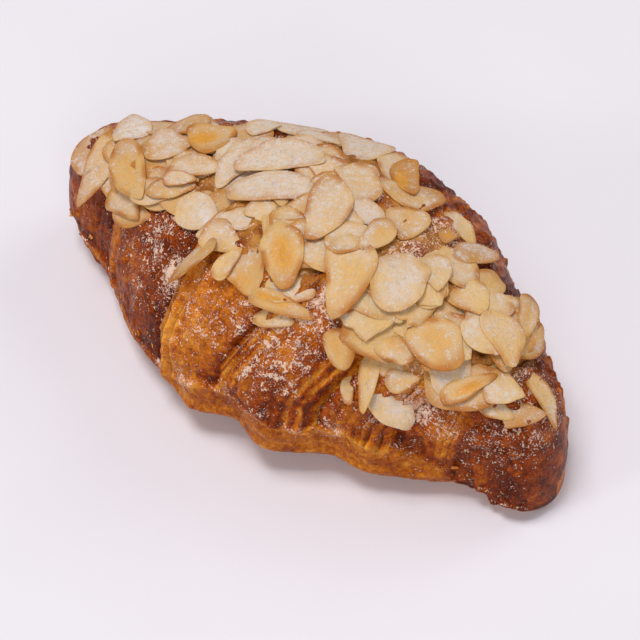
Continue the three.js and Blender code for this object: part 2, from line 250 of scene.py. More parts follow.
@dataclass(frozen=True)
class BakedCrust:
    """Puff pastry, egg-washed and baked: a satin skin from gold to dark brown, with thin layers."""

    name: str = "puff_pastry_egg_washed_baked"
    browned: tuple[tuple[float, str], ...] = (
        (0.1, "DE9536"),
        (0.4, "C06A13"),
        (0.7, "903A05"),
        (1.0, "561B03"),
    )
    mottle_mm: float = 5.0
    mottle_share: float = 0.7
    grain_mm: float = 1.3
    grain_share: float = 1.1
    leaf_rag: float = 0.14
    leaf_power: float = 2.5
    leaf_drop: float = 1.2
    # Each thin layer's lip is lighter, a painted highlight, and its root darker, painted shade
    painted_lip_highlight: float = 0.35
    painted_root_shade: float = -0.8
    relief_mm: float = 1.2
    cream_pale: str = "C88C44"
    cream_toasted: str = "84420F"
    crumb_range: Pair = (0.35, 0.65)
    # Warm sugar specks: partly sieved sugar, partly painted highlights that stand for the glaze's glints
    sugar: str = "F0CAB0"
    # Sieved sugar is finer than 0.1 mm: its specks are drawn this coarse so that they show
    speck_mm: float = 0.5
    sugar_share: float = 0.6
    speck_range: Pair = (1.2, 1.36)
    speck_most: float = 0.95
    ior: float = 1.45
    sheen: float = 0.05
    rough_crust: float = 0.35
    rough_sugar: float = 0.9
    glaze: float = 0.14
    rough_glaze: float = 0.08

    def material(self) -> bpy.types.Material:
        """Builds the finish from the roll's tint: browning, sugar, cream and layer lines with painted
        light and shade.

        Returns:
            The finished material.
        """
        material, tree = new_material(self.name)
        tint = add_node(tree, "Attribute", attribute_name="crust")
        baked, sugared, creamed = add_node(tree, "SeparateColor", {0: tint}).outputs
        lined = tint.outputs["Alpha"]
        place = add_node(tree, "TexCoord").outputs["Object"]
        mottle, grain, speck = (
            add_node(tree, "TexNoise", {"Vector": place, "Scale": per_mm(size), **FRACTAL})
            for size in (self.mottle_mm, self.grain_mm, self.speck_mm)
        )
        mottled = add_node(tree, "Math", {0: mottle, 1: self.mottle_share, 2: baked}, **ADD_SHARE)
        grained = add_node(tree, "Math", {0: grain, 1: self.grain_share, 2: mottled}, **ADD_SHARE)
        middle = (self.mottle_share + self.grain_share) / 2
        browning = add_node(tree, "Math", {0: grained, 1: middle}, operation="SUBTRACT")
        ramp = add_node(tree, "ValToRGB", {0: browning})
        stops = ramp.color_ramp.elements
        for share, shade in self.browned[1:-1]:
            stops.new(share).color = linear(shade)
        for stop, (share, shade) in ((stops[0], self.browned[0]), (stops[-1], self.browned[-1])):
            stop.position, stop.color = share, linear(shade)
        layers = add_node(tree, "Attribute", attribute_name="layers").outputs["Fac"]
        ragged = add_node(tree, "Math", {0: grain, 1: self.leaf_rag, 2: layers}, **ADD_SHARE)
        leaf = add_node(tree, "Math", {0: ragged}, operation="FRACT")
        steep = add_node(tree, "Math", {0: leaf, 1: self.leaf_power}, operation="POWER")
        # Painted highlight on each layer's lip and painted shade at its root
        lip_light_root_shade = add_node(tree, "MapRange", {0: steep, 3: self.painted_lip_highlight, 4: self.painted_root_shade})
        lines = add_node(tree, "Math", {0: lip_light_root_shade, 1: lined, 2: 1.0}, **ADD_SHARE)
        layers_light_and_shade = add_node(tree, "Mix", {0: 1.0, 6: ramp, 7: lines}, **SHADE)
        crumbs = add_node(tree, "MapRange", {0: mottle, 1: self.crumb_range[0], 2: self.crumb_range[1]})
        shades = {6: linear(self.cream_toasted), 7: linear(self.cream_pale)}
        cream = add_node(tree, "Mix", {0: crumbs, **shades}, **BLEND)
        coated = add_node(tree, "Mix", {0: creamed, 6: layers_light_and_shade, 7: cream}, **BLEND)
        clumps = add_node(tree, "Math", {0: speck, 1: grain})
        level = add_node(tree, "Math", {0: sugared, 1: self.sugar_share, 2: clumps}, **ADD_SHARE)
        low, high = self.speck_range
        dust = add_node(tree, "MapRange", {0: level, 1: low, 2: high, 4: self.speck_most})
        # Sugar specks, which are also painted glints of the glaze
        specks_and_glints = add_node(tree, "Mix", {0: dust, 6: coated, 7: linear(self.sugar)}, **BLEND)
        rough = add_node(tree, "MapRange", {0: dust, 3: self.rough_crust, 4: self.rough_sugar})
        dropped = add_node(tree, "Math", {0: leaf, 1: lined}, operation="MULTIPLY")
        relief = add_node(tree, "Math", {0: dropped, 1: -self.leaf_drop, 2: grain}, **ADD_SHARE)
        bump = add_node(
            tree, "Bump", {"Height": relief, "Strength": 1.0, "Distance": self.relief_mm * MM}
        )
        surface = {
            "Base Color": specks_and_glints,
            "Roughness": rough,
            "Normal": bump,
            "IOR": self.ior,
            "Specular IOR Level": self.sheen,
            "Coat Weight": self.glaze,
            "Coat Roughness": self.rough_glaze,
        }
        add_node(tree, "OutputMaterial", {"Surface": add_node(tree, "BsdfPrincipled", surface)})
        return material


@dataclass(frozen=True)
class SlicedAlmond:
    """Blanched almond, sliced and toasted: waxy cream with tan rims and golden hearts under dull sugar."""

    name: str = "blanched_almond_sliced_toasted"
    cream: str = "DDB678"
    tan: str = "BC8034"
    rim: str = "B46C18"
    heart: str = "D6922A"
    fibre_mm: float = 1.1
    fibre_share: float = 0.9
    fleck_range: tuple[float, float, float, float] = (0.3, 0.6, 0.86, 1.05)
    sugar: str = "D4C7C0"
    thick_sugar: str = "E6E1E2"
    clump_mm: float = 1.6
    # Sieved sugar is finer than 0.1 mm: its specks are drawn this coarse so that they show
    speck_mm: float = 0.5
    sugar_share: float = 0.6
    speck_range: tuple[float, float, float, float] = (1.22, 1.38, 0.0, 0.8)
    film_range: tuple[float, float, float, float] = (0.15, 0.54, 0.0, 0.42)
    heap_range: Pair = (0.54, 0.85)
    relief_mm: float = 0.35
    relief_share: float = 0.9
    ior: float = 1.47
    rough_almond: float = 0.45
    rough_sugar: float = 0.9
    waxiness: float = 0.15
    glow: Triple = (1.0, 0.6, 0.3)
    glow_mm: float = 0.8

    def material(self) -> bpy.types.Material:
        """Builds the finish from the flakes' tint: rim, heart, toasting and sugar.

        Returns:
            The finished material.
        """
        material, tree = new_material(self.name)
        tint = add_node(tree, "Attribute", attribute_name="almond")
        rimmed, hearted, toasted = add_node(tree, "SeparateColor", {0: tint}).outputs
        sugared = tint.outputs["Alpha"]
        place = add_node(tree, "TexCoord").outputs["Object"]
        lengthwise = add_node(tree, "Attribute", attribute_name="fibres").outputs["Vector"]
        sizes = (self.fibre_mm, self.clump_mm, self.speck_mm)
        fibre, clump, speck = (
            add_node(tree, "TexNoise", {"Vector": where, "Scale": per_mm(size), **FRACTAL})
            for size, where in zip(sizes, (lengthwise, place, place))
        )
        grained = add_node(tree, "Math", {0: fibre, 1: self.fibre_share, 2: toasted}, **ADD_SHARE)
        toast = add_node(
            tree, "Math", {0: grained, 1: self.fibre_share / 2}, operation="SUBTRACT", use_clamp=True
        )
        colour = add_node(tree, "Mix", {0: toast, 6: linear(self.cream), 7: linear(self.tan)}, **BLEND)
        for share, shade in ((rimmed, self.rim), (hearted, self.heart)):
            colour = add_node(tree, "Mix", {0: share, 6: colour, 7: linear(shade)}, **BLEND)
        flecks = add_node(tree, "MapRange", {0: fibre, **dict(enumerate(self.fleck_range, 1))})
        grain = add_node(tree, "Mix", {0: 1.0, 6: colour, 7: flecks}, **SHADE)
        clumps = add_node(tree, "Math", {0: speck, 1: clump})
        level = add_node(tree, "Math", {0: sugared, 1: self.sugar_share, 2: clumps}, **ADD_SHARE)
        specks = add_node(tree, "MapRange", {0: level, **dict(enumerate(self.speck_range, 1))})
        film = add_node(tree, "MapRange", {0: sugared, **dict(enumerate(self.film_range, 1))})
        dust = add_node(tree, "Math", {0: specks, 1: film}, operation="MAXIMUM")
        heaped = add_node(tree, "MapRange", {0: sugared, **dict(enumerate(self.heap_range, 1))})
        whites = {6: linear(self.sugar), 7: linear(self.thick_sugar)}
        sugar = add_node(tree, "Mix", {0: heaped, **whites}, **BLEND)
        relief = add_node(tree, "Math", {0: speck, 1: fibre})
        pits = {"Height": relief, "Strength": self.relief_share, "Distance": self.relief_mm * MM}
        surface = {
            "Base Color": add_node(tree, "Mix", {0: dust, 6: grain, 7: sugar}, **BLEND),
            "Roughness": add_node(tree, "MapRange", {0: dust, 3: self.rough_almond, 4: self.rough_sugar}),
            "Normal": add_node(tree, "Bump", pits),
            "IOR": self.ior,
            "Subsurface Weight": self.waxiness,
            "Subsurface Radius": self.glow,
            "Subsurface Scale": self.glow_mm * MM,
        }
        add_node(tree, "OutputMaterial", {"Surface": add_node(tree, "BsdfPrincipled", surface)})
        return material


@dataclass(frozen=True)
class CloudedFinish:
    """A dull finish that drifts between two close shades."""

    name: str
    shade: str
    light: str
    cloud_mm: float
    roughness: float
    ior: float

    def material(self) -> bpy.types.Material:
        """Builds the finish, a little greyer from cloud to cloud.

        Returns:
            The finished material.
        """
        material, tree = new_material(self.name)
        place = add_node(tree, "TexCoord").outputs["Object"]
        clouds = add_node(tree, "TexNoise", {"Vector": place, "Scale": per_mm(self.cloud_mm)})
        shades = {6: linear(self.shade), 7: linear(self.light)}
        colour = add_node(tree, "Mix", {0: clouds, **shades}, **BLEND)
        surface = {"Base Color": colour, "Roughness": self.roughness, "IOR": self.ior}
        add_node(tree, "OutputMaterial", {"Surface": add_node(tree, "BsdfPrincipled", surface)})
        return material


# Icing sugar, sieved: a dull white powder that clings in specks and small clumps
ICING_SUGAR = CloudedFinish("icing_sugar_sieved", "CDBBB5", "E8DEDA", cloud_mm=2.0, roughness=0.9, ior=1.5)
# Matt pale laminate, pressed smooth: an even lilac grey with a faint cloudiness
TABLE_TOP = CloudedFinish(
    "pale_laminate_pressed", "E0DBE2", "E6E1E8", cloud_mm=60.0, roughness=0.75, ior=1.5
)


@dataclass(frozen=True)
class Station:
    """The roll's section at one place along it, in millimetres."""

    x: float
    front: float
    back: float
    height: float


@dataclass(frozen=True)
class Band:
    """One wrapped band: how brown it baked, how strongly its layers show, its blisters and its sugar."""

    browning: float
    striping: float
    blistering: float
    dusting: float


@dataclass(frozen=True)
class Crease:
    """Where one band ends on the next: its x on the front, and how far it leans towards the crown."""

    x: float
    lean: float


@dataclass(frozen=True)
class SugarPatch:
    """A spot where sugar lies thick: its place, its radius in millimetres and its thickness up to 1."""

    x: float
    around: float
    radius: float
    thickness: float


@dataclass(frozen=True)
class BareSpot:
    """A spot without almonds where the crust baked darker: its place and its radius in millimetres."""

    x: float
    around: float
    radius: float


@dataclass(frozen=True)
class BandPlace:
    """Where points lie on their bands: the band's number and width, and the distances to its edges."""

    number: np.ndarray
    width: np.ndarray
    inner: np.ndarray
    outer: np.ndarray
    on_top: np.ndarray
    near_tip: np.ndarray


@dataclass(frozen=True)
class Survey:
    """What lies at each point of the net: its plain place, band, cream, foot, cracks, layers and lip."""

    x: np.ndarray
    around: np.ndarray
    behind: np.ndarray
    plain: np.ndarray
    stray: np.ndarray
    band: BandPlace
    cream: np.ndarray
    bare: np.ndarray
    over_seam: np.ndarray
    foot: np.ndarray
    torn: np.ndarray
    cracks: np.ndarray
    counted: np.ndarray
    lip_wall: np.ndarray
    passed: np.ndarray
    showing: np.ndarray


@dataclass(frozen=True)
class BakedForm:
    """How the oven raised the skin: lumps, blisters, lips, leaves and the foot, in millimetres."""

    swells: Pattern = Pattern(15, 0.9, 5, 3)
    pimples: Pattern = Pattern(3.0, 0.5, 7, 3)
    bubbles: Pattern = Pattern(3.2, 1.0, 23)
    bubble_floor: float = 0.2
    pinholes: Pattern = Pattern(1.7, 1.0, 29)
    pinhole_floor: float = 0.3
    pinhole_share: float = 0.5
    blister: float = 1.5
    cream_lumps: Pattern = Pattern(4.5, 0.8, 31, 3)
    crack: float = 0.3
    step_drop: float = 0.75
    step_range: Pair = (0.1, 0.6)
    upturn: float = 0.9
    upturn_at: float = 2.2
    upturn_span: float = 1.6
    upturn_creamed: float = 0.6
    back_flattened: float = 0.65
    back_at: float = 56.0
    back_span: float = 14.0
    leaf: float = 0.35
    leaf_overtone: float = 0.15
    pleats: Pattern = Pattern(2.4, 0.45, 43, 3)
    pleat_lean: float = 0.2
    pleat_stretch: float = 9.0
    foot_inset: float = 0.2
    torn: float = 0.7
    lobe_fade: float = 4.0
    tip_fade: float = 0.9


@dataclass(frozen=True)
class OvenColour:
    """How the oven coloured the skin, with painted light and shade added: browning from 0 for gold to 1
    for dark.
    """

    patches: Pattern = Pattern(11, 0.14, 61, 2)
    blisters: Pattern = Pattern(3.6, 0.2, 63, 3)
    streaks: Pattern = Pattern(3.4, 0.22, 65, 2)
    streak_turn: float = 12.0
    streak_broken: float = 0.6
    back: float = 0.58
    back_share: float = 0.85
    back_reach: Pair = (38.0, 72.0)
    # Painted shade: darker browning over the upper back
    painted_back_shade: float = 0.12
    back_shade_start: Pair = (10.0, 40.0)
    back_shade_end: Pair = (50.0, 75.0)
    join: float = 0.22
    join_mm: float = 5.0
    bare: float = 0.3
    foot: float = 0.38
    foot_share: float = 0.8
    foot_back: float = 0.3
    lip_wall: float = 0.1
    # Creases darker: partly browning, partly painted shade
    crease_browning_and_shade: float = 0.5
    valley_mm: float = 3.5
    valley_lost: float = 0.7
    crack: float = 0.12
    torn: float = 0.15
    # Painted shade at the root of each step of a lip, and painted light on each step's ridge
    root: float = 0.22
    root_at: float = 0.3
    root_span: float = 0.2
    painted_ridge_light: float = 0.25
    ridge_at: float = 0.85
    ridge_span: float = 0.25
    step_start: float = 0.1
    seam: float = 0.14
    seam_at: float = 2.0
    seam_span: float = 1.3


@dataclass(frozen=True)
class Sieving:
    """How sieved sugar settled on the skin: where it holds, how it drifted and what was spared."""

    holds: Pair = (0.0, 0.8)
    drifts: Pattern = Pattern(8, 1.0, 71, 3)
    drift_range: Pair = (-0.2, 0.6)
    thin: float = 0.22
    drifted: float = 0.42
    torn: float = 0.35
    foot_spared: float = 0.75
    lip_spared: float = 0.7
    back_share: float = 0.15
    back_reach: Pair = (50.0, 75.0)
    patch_even: float = 0.55


@dataclass
class Roll:
    """The baked roll: wrapped bands with lips and creases, on a flat base and a foot that spread."""

    length: float = 150.0
    stations: tuple[Station, ...] = (
        Station(-75, 6, 15, 33),
        Station(-52, 17.5, 27, 38.5),
        Station(-24, 36.8, 39.2, 46),
        Station(4, 40.8, 42, 52),
        Station(18, 37.2, 40, 49.6),
        Station(32, 30.8, 33.8, 45.5),
        Station(52, 18, 21.5, 39),
        Station(63, 12.9, 14.4, 31.7),
        Station(75, 12, 8.5, 25),
    )
    creases: tuple[Crease, ...] = (
        Crease(-51, 1),
        Crease(-21, 1),
        Crease(-1.5, 12),
        Crease(24, 11),
        Crease(41, 12),
        Crease(54, 3),
    )
    bands: tuple[Band, ...] = (
        Band(0.7, 0.3, 0.6, 0.4),
        Band(0.73, 0.12, 1.0, 0.65),
        Band(0.43, 0.3, 0.9, 0.6),
        Band(0.64, 0.2, 1.0, 1.0),
        Band(0.41, 0.5, 0.7, 0.8),
        Band(0.36, 0.45, 0.8, 1.1),
        Band(0.85, 0.35, 1.6, 1.0),
    )
    patches: tuple[SugarPatch, ...] = tuple(
        SugarPatch(*row)
        for row in (
            (-23, 136, 5, 1.0), (-31, 136, 6, 0.6), (11, 147, 6, 0.4), (16, 139, 6, 0.65),
            (6, 140, 5, 0.35), (44, 146, 6, 0.9), (66, 120, 9, 0.5), (62, 145, 9, 0.45),
            (50, 150, 6, 0.5), (35, 157, 4, 0.5), (-12, 177, 2.5, 0.6), (2, 168, 2.5, 0.4),
            (20, 174, 3, 0.5), (28, 171, 4, 0.6),
        )
    )
    bare_spots: tuple[BareSpot, ...] = tuple(
        BareSpot(*row)
        for row in (
            (5, 73, 4.5), (14, 117, 3.5), (21, 70, 4.0), (31, 70, 3.5), (38, 66, 4.5),
            (43, 60, 5.0), (-27, 103, 2.5), (12, 111, 3.0), (-9, 115, 2.5), (10, 79, 3.5),
            (26, 86, 2.5), (15, 55, 4.0), (34, 160, 5.0), (39, 157, 6.0),
        )
    )
    strewn_front: tuple[Pair, ...] = (
        (-70, 112), (-53, 122), (-42, 112), (-28, 108), (-15, 114), (0, 120), (20, 122), (40, 134),
        (52, 116), (66, 104),
    )
    strewn_back: tuple[Pair, ...] = (
        (-70, 80), (-40, 72), (-20, 62), (10, 60), (20, 70), (34, 70), (48, 64), (62, 72),
    )
    foot_seam: tuple[Pair, ...] = (
        (-75, 8), (-50, 10), (-30, 11.5), (-17, 14.5), (-7, 18.5), (3, 22), (11, 21.5), (17, 18),
        (25, 20), (31, 19.5), (43, 15), (50, 12), (56, 4), (75, 1),
    )
    foot_swell: tuple[Pair, ...] = (
        (-60, 0), (-40, 0.8), (-24, -1.4), (-17, -0.6), (-8, 1.6), (3, -2.6), (14, 1.6),
        (27, -1.8), (38, 1.8), (48, 1.2), (57, -1.5), (66, 0),
    )
    form: BakedForm = BakedForm()
    oven: OvenColour = OvenColour()
    sieving: Sieving = Sieving()
    # Creases between the bands
    top_band: int = 3
    crease_foot: float = 163.0
    lean_span: float = 53.0
    lean_most: float = 1.5
    # Tips and section
    tip_bend: float = 6.0
    tip_round: float = 10.0
    tip_power: float = 2.2
    tip_close: Pair = (1.3, 0.4)
    tip_undercut: float = 4.0
    undercut_x: Pair = (60.0, 74.0)
    undercut_z: Pair = (5.0, 13.0)
    widest_share: float = 0.3
    upper_power: float = 2.2
    lower_power: float = 2.6
    base_sink: float = 1.25
    side_start: Pair = (-0.75, 0.05)
    # Lips in which the bands end, and the steps of their layers
    lip: float = 3.2
    lip_curve: float = 1.15
    lip_sunk: float = 0.7
    lip_wall_reach: float = 1.9
    lip_wall_fade: Pair = (0.5, 1.0)
    lip_striping: float = 0.3
    lipless: float = 3.0
    side_steep: float = 0.3
    step_reach: float = 8.0
    steps: int = 3
    band_start: float = 0.25
    tip_start: float = 0.65
    band_power: float = 0.8
    crease_fillet: float = 2.5
    torn_edges: tuple[Pattern, ...] = (Pattern(9, 0.9, 83, 2), Pattern(2.4, 0.12, 85))
    # The back, where the bands are smoother
    back_evened: float = 0.7
    evened_at: float = 52.0
    evened_span: float = 16.0
    evened_rise: float = 0.55
    behind: Pair = (20.0, 60.0)
    back_striping: float = 0.6
    back_striped: float = 0.7
    ledge: float = 1.6
    ledge_span: Pair = (0.12, 0.3)
    # Almond cream under the flakes, and cracks in the bare skin
    cream: float = 1.4
    cream_front: Pair = (125.0, 140.0)
    cream_back: Pair = (30.0, 45.0)
    cream_edge: Pattern = Pattern(5, 4.0, 37, 2)
    cream_fade: float = 6.0
    cream_past: Pair = (4.0, 2.0)
    cream_ends: Pair = (54.0, 64.0)
    cracks: Pattern = Pattern(9, 1.0, 47, 3)
    crack_range: Pair = (0.86, 0.99)
    # Thin layers that show on the skin
    leaf_pitch: float = 3.0
    leaf_wander: Pattern = Pattern(2.0, 1.2, 41, 2)
    wander_mm: float = 3.0
    wander_turn: float = 30.0
    # The foot and the torn seam over it
    foot_seam_back: float = 11.0
    back_seam: Pattern = Pattern(17, 4.0, 91, 2)
    seam_waves: tuple[Pattern, ...] = (Pattern(8, 1.2, 87), Pattern(2.6, 0.8, 89))
    seam_fade: float = 0.8
    torn_width: float = 1.0
    foot_rise: float = 0.8
    foot_share: float = 0.9
    foot_striped: float = 0.8
    # How finely the skin is netted
    net_middle: int = 306
    net_tip: int = 32
    net_around: int = 262
    net_base: float = 0.22
    net_front: float = 0.35
    net_crown: float = 0.5
    net_fine: int = 3601
    net_sides: tuple[float, ...] = (-35.0, -20.0, 205.0, 220.0)
    net_strewn: tuple[float, ...] = (55.0, 75.0, 100.0, 115.0)
    net_facing: Pair = (90.0, 120.0)
    # What is worked out from them
    xs: np.ndarray = field(init=False)
    arounds: np.ndarray = field(init=False)
    points: np.ndarray = field(init=False)
    normals: np.ndarray = field(init=False)
    tints: np.ndarray = field(init=False)
    layers: np.ndarray = field(init=False)

    def __post_init__(self) -> None:
        """Works out the net and the finished skin."""
        self.xs = self.net_along()
        self.arounds = self.net_lines()
        net = self.survey()
        relief = self.baked_relief(net)
        self.points = self.skin(net.x, net.around, relief, net.stray, self.foot_share * net.foot)
        self.normals = self.outward(self.points)
        tints = [self.browning(net), self.sugar_cover(net), net.cream, net.showing]
        self.tints = np.clip(np.stack(tints, -1), 0, 1)
        self.layers = net.counted

    def net_along(self) -> np.ndarray:
        """Spaces the net's rings: even along the roll, and closer where a tip rounds off.

        Returns:
            The rings' x, from tip to tip.
        """
        straight = self.length / 2 - self.tip_round
        quarter = np.linspace(0, math.pi / 2, self.net_tip + 1)[1:]
        tip = straight + self.tip_round * np.sin(quarter)
        middle = np.linspace(-straight, straight, self.net_middle)
        return np.concatenate([-tip[::-1], middle, tip])

    def net_lines(self) -> np.ndarray:
        """Spaces the net's lines around the section: close on the sides that show, wide on the base.

        Returns:
            Angles around in degrees from -90, one turn without its end.
        """
        angles = np.linspace(-90, 270, self.net_fine)
        side, crown = (
            smoothstep(*span[:2], angles) * (1 - smoothstep(*span[2:], angles))
            for span in (self.net_sides, self.net_strewn)
        )
        shown = 1 - self.net_base + self.net_front * smoothstep(*self.net_facing, angles)
        density = self.net_base + side * shown - self.net_crown * crown
        reach = np.concatenate([[0], np.cumsum((density[1:] + density[:-1]) / 2)])
        return np.interp(np.linspace(0, reach[-1], self.net_around + 1)[:-1], reach, angles)

    def size_at(self, size: str, x: np.ndarray) -> np.ndarray:
        """Reads one of the stations' sizes on a smooth curve through them.

        Args:
            size: The size's name, front, back or height.
            x: Places along the roll.

        Returns:
            The size at each place.
        """
        knots = np.array([s.x for s in self.stations], float)
        values = np.array([getattr(s, size) for s in self.stations], float)
        before = np.concatenate([[0], np.arange(len(knots) - 1)])
        after = np.concatenate([np.arange(1, len(knots)), [len(knots) - 1]])
        slopes = (values[after] - values[before]) / (knots[after] - knots[before])
        high = np.clip(np.searchsorted(knots, x), 1, len(knots) - 1)
        low = high - 1
        span = knots[high] - knots[low]
        t = np.clip((x - knots[low]) / span, 0, 1)
        ease = t * t * (3 - 2 * t)
        lean = t * (1 - t) * span
        line = values[low] + (values[high] - values[low]) * ease
        return line + lean * (1 - t) * slopes[low] - lean * t * slopes[high]

    def swell_at(self, x: np.ndarray) -> np.ndarray:
        """Gives how far the foot bulges or draws in at each place along the roll.

        Args:
            x: Places along the roll.

        Returns:
            Millimetres, more outwards.
        """
        knots, swells = np.transpose(self.foot_swell)
        high = np.clip(np.searchsorted(knots, x), 1, len(knots) - 1)
        share = smoothstep(knots[high - 1], knots[high], x)
        return swells[high - 1] + (swells[high] - swells[high - 1]) * share

    def lean_share(self, around: np.ndarray) -> np.ndarray:
        """Gives how much of its lean a crease has at an angle around."""
        return np.clip((self.crease_foot - around) / self.lean_span, 0, self.lean_most)

    def strewn_span(self, x: np.ndarray | float) -> tuple[np.ndarray | float, np.ndarray | float]:
        """Gives the angles at the back and the front between which almonds lie."""
        return tuple(np.interp(x, *np.transpose(edge)) for edge in (self.strewn_back, self.strewn_front))

    def cream_share(self, around: np.ndarray) -> np.ndarray:
        """Gives how fully almond cream covers the skin at an angle around."""
        return (1 - smoothstep(*self.cream_front, around)) * smoothstep(*self.cream_back, around)

    def band_at(self, x: np.ndarray, around: np.ndarray) -> BandPlace:
        """Finds the band at each place, and how far its edges are.

        Args:
            x: Places along the roll.
            around: Angles around, from -90 to 270.

        Returns:
            The places on the bands.
        """
        last = len(self.creases)
        edges = np.stack([c.x + c.lean * self.lean_share(around) for c in self.creases])
        number = (x[None] > edges).sum(0)
        tip = np.full((1, *number.shape), self.length / 2)
        bounds = np.concatenate([-tip, edges, tip])
        low, high = (np.take_along_axis(bounds, (number + side)[None], 0)[0] for side in (0, 1))
        leftward = number < self.top_band
        on_top = number == self.top_band
        inner = np.where(leftward, high - x, x - low)
        outer = np.where(leftward, x - low, high - x)
        outer = np.where(on_top, np.minimum(inner, outer), outer)
        outer = np.where((number == 0) | (number >= last - 1), self.lipless * self.lip, outer)
        inside, outside = np.maximum(inner, 0), np.maximum(outer, 0)
        return BandPlace(number, high - low, inside, outside, on_top, number == last)

    def baked(self, trait: str, band: BandPlace) -> np.ndarray:
        """Gives one of the bands' traits at each place."""
        return np.array([getattr(b, trait) for b in self.bands])[band.number]

    def layer_rise(self, band: BandPlace) -> np.ndarray:
        """Gives how far the bands stand over the lowest skin: each swells outwards and ends in a lip.

        Args:
            band: The places on the bands.

        Returns:
            Millimetres.
        """
        lowest = np.where(band.near_tip, self.tip_start, self.band_start)
        swell = lowest + (1 - lowest) * (band.inner / band.width) ** self.band_power
        swell = np.where(band.on_top, 1, swell)
        start = np.where(band.on_top | band.near_tip, 1, np.clip(band.inner / self.crease_fillet, 0, 1))
        curve = np.clip(1 - band.outer / (self.lip * self.lip_curve), 0, 1)
        rise = swell * np.sqrt(start * (2 - start)) - (1 - np.sqrt(1 - curve * curve))
        return self.lip * np.maximum(rise, 0)

    def skin(
        self,
        x: np.ndarray,
        around: np.ndarray,
        extra: np.ndarray | float = 0.0,
        stray: np.ndarray | float = 0.0,
        foot: np.ndarray | float = 0.0,
    ) -> np.ndarray:
        """Places points of the skin.

        Args:
            x: Places along the roll.
            around: Angles around: 0 at the back, 90 at the crown, 180 at the front.
            extra: Relief over the plain form, in millimetres.
            stray: How far the bands' edges stray along the roll, in millimetres.
            foot: Share of the foot, which the bands' creases don't cross.

        Returns:
            Points in millimetres.
        """
        share = x / (self.length / 2)
        towards_tip = np.clip((np.abs(x) - self.length / 2 + self.tip_round) / self.tip_round, 0, 1)
        closing = np.sqrt(np.maximum(1 - towards_tip**self.tip_power, 0))
        upright = np.sin(np.radians(around))
        level = np.cos(np.radians(around))
        sideways = np.sign(level) * np.abs(level) ** (2 / self.upper_power)
        above = upright > 0
        power = np.where(above, self.upper_power, self.lower_power)
        lift = np.sign(upright) * np.abs(upright) ** (2 / power)
        height = self.size_at("height", x)
        widest = self.widest_share * height
        layers = self.layer_rise(self.band_at(x + stray, around))
        evened = self.back_evened * hump(around - self.evened_at, self.evened_span)
        layers = layers + (self.evened_rise * self.lip - layers) * evened
        layers = layers + (self.foot_rise * self.lip - layers) * foot
        relief = layers * smoothstep(*self.side_start, lift) + self.cream * self.cream_share(around)
        relief = relief - self.lip_sunk * self.lip + extra
        ledge = self.ledge * smoothstep(*self.ledge_span, -lift)
        reach = np.where(sideways < 0, self.size_at("front", x), self.size_at("back", x)) + relief + ledge
        rise = np.where(above, height - widest + relief, widest * self.base_sink)
        y = -self.tip_bend * share * share + reach * closing * sideways
        closed = np.where(x < 0, *self.tip_close)
        z = widest * (closed + (1 - closed) * closing) + rise * closing * lift
        undercut = smoothstep(*self.undercut_x, -x) * (1 - smoothstep(*self.undercut_z, z))
        return np.stack([x + self.tip_undercut * undercut, y, np.maximum(z, 0)], -1)

    def outward(self, points: np.ndarray) -> np.ndarray:
        """Works out the outward directions of a net of points.

        Args:
            points: The net, rings first.

        Returns:
            Unit vectors.
        """
        along = np.gradient(points, axis=0)
        looped = np.concatenate([points[:, -1:], points, points[:, :1]], axis=1)
        downhill = (looped[:, 2:] - looped[:, :-2]) / 2
        normals = unit(np.cross(downhill, along))
        normals[0] = (-1, 0, 0)
        normals[-1] = (1, 0, 0)
        return normals

    def nearness(self, plain: np.ndarray, spot: SugarPatch | BareSpot) -> np.ndarray:
        """Gives how near points are to a spot: 1 in its middle, fading over its radius.

        Args:
            plain: Points of the plain form.
            spot: The spot.

        Returns:
            The share for each point.
        """
        centre = self.skin(np.array([spot.x], float), np.array([spot.around], float))[0]
        return hump(np.linalg.norm(plain - centre, axis=-1), spot.radius)

    def layer_count(self, x: np.ndarray, around: np.ndarray) -> np.ndarray:
        """Counts the thin layers passed along the roll; each whole number is a layer's lip.

        Args:
            x: Places along the roll.
            around: Angles around.

        Returns:
            The count, unevenly spaced and wandering.
        """
        leans = np.interp(x, [c.x for c in self.creases], [c.lean for c in self.creases])
        combed = x - leans * self.lean_share(around)
        places = np.stack([combed / self.wander_mm, around / self.wander_turn, 0 * x], -1)
        return combed / self.leaf_pitch + self.leaf_wander.at(places)

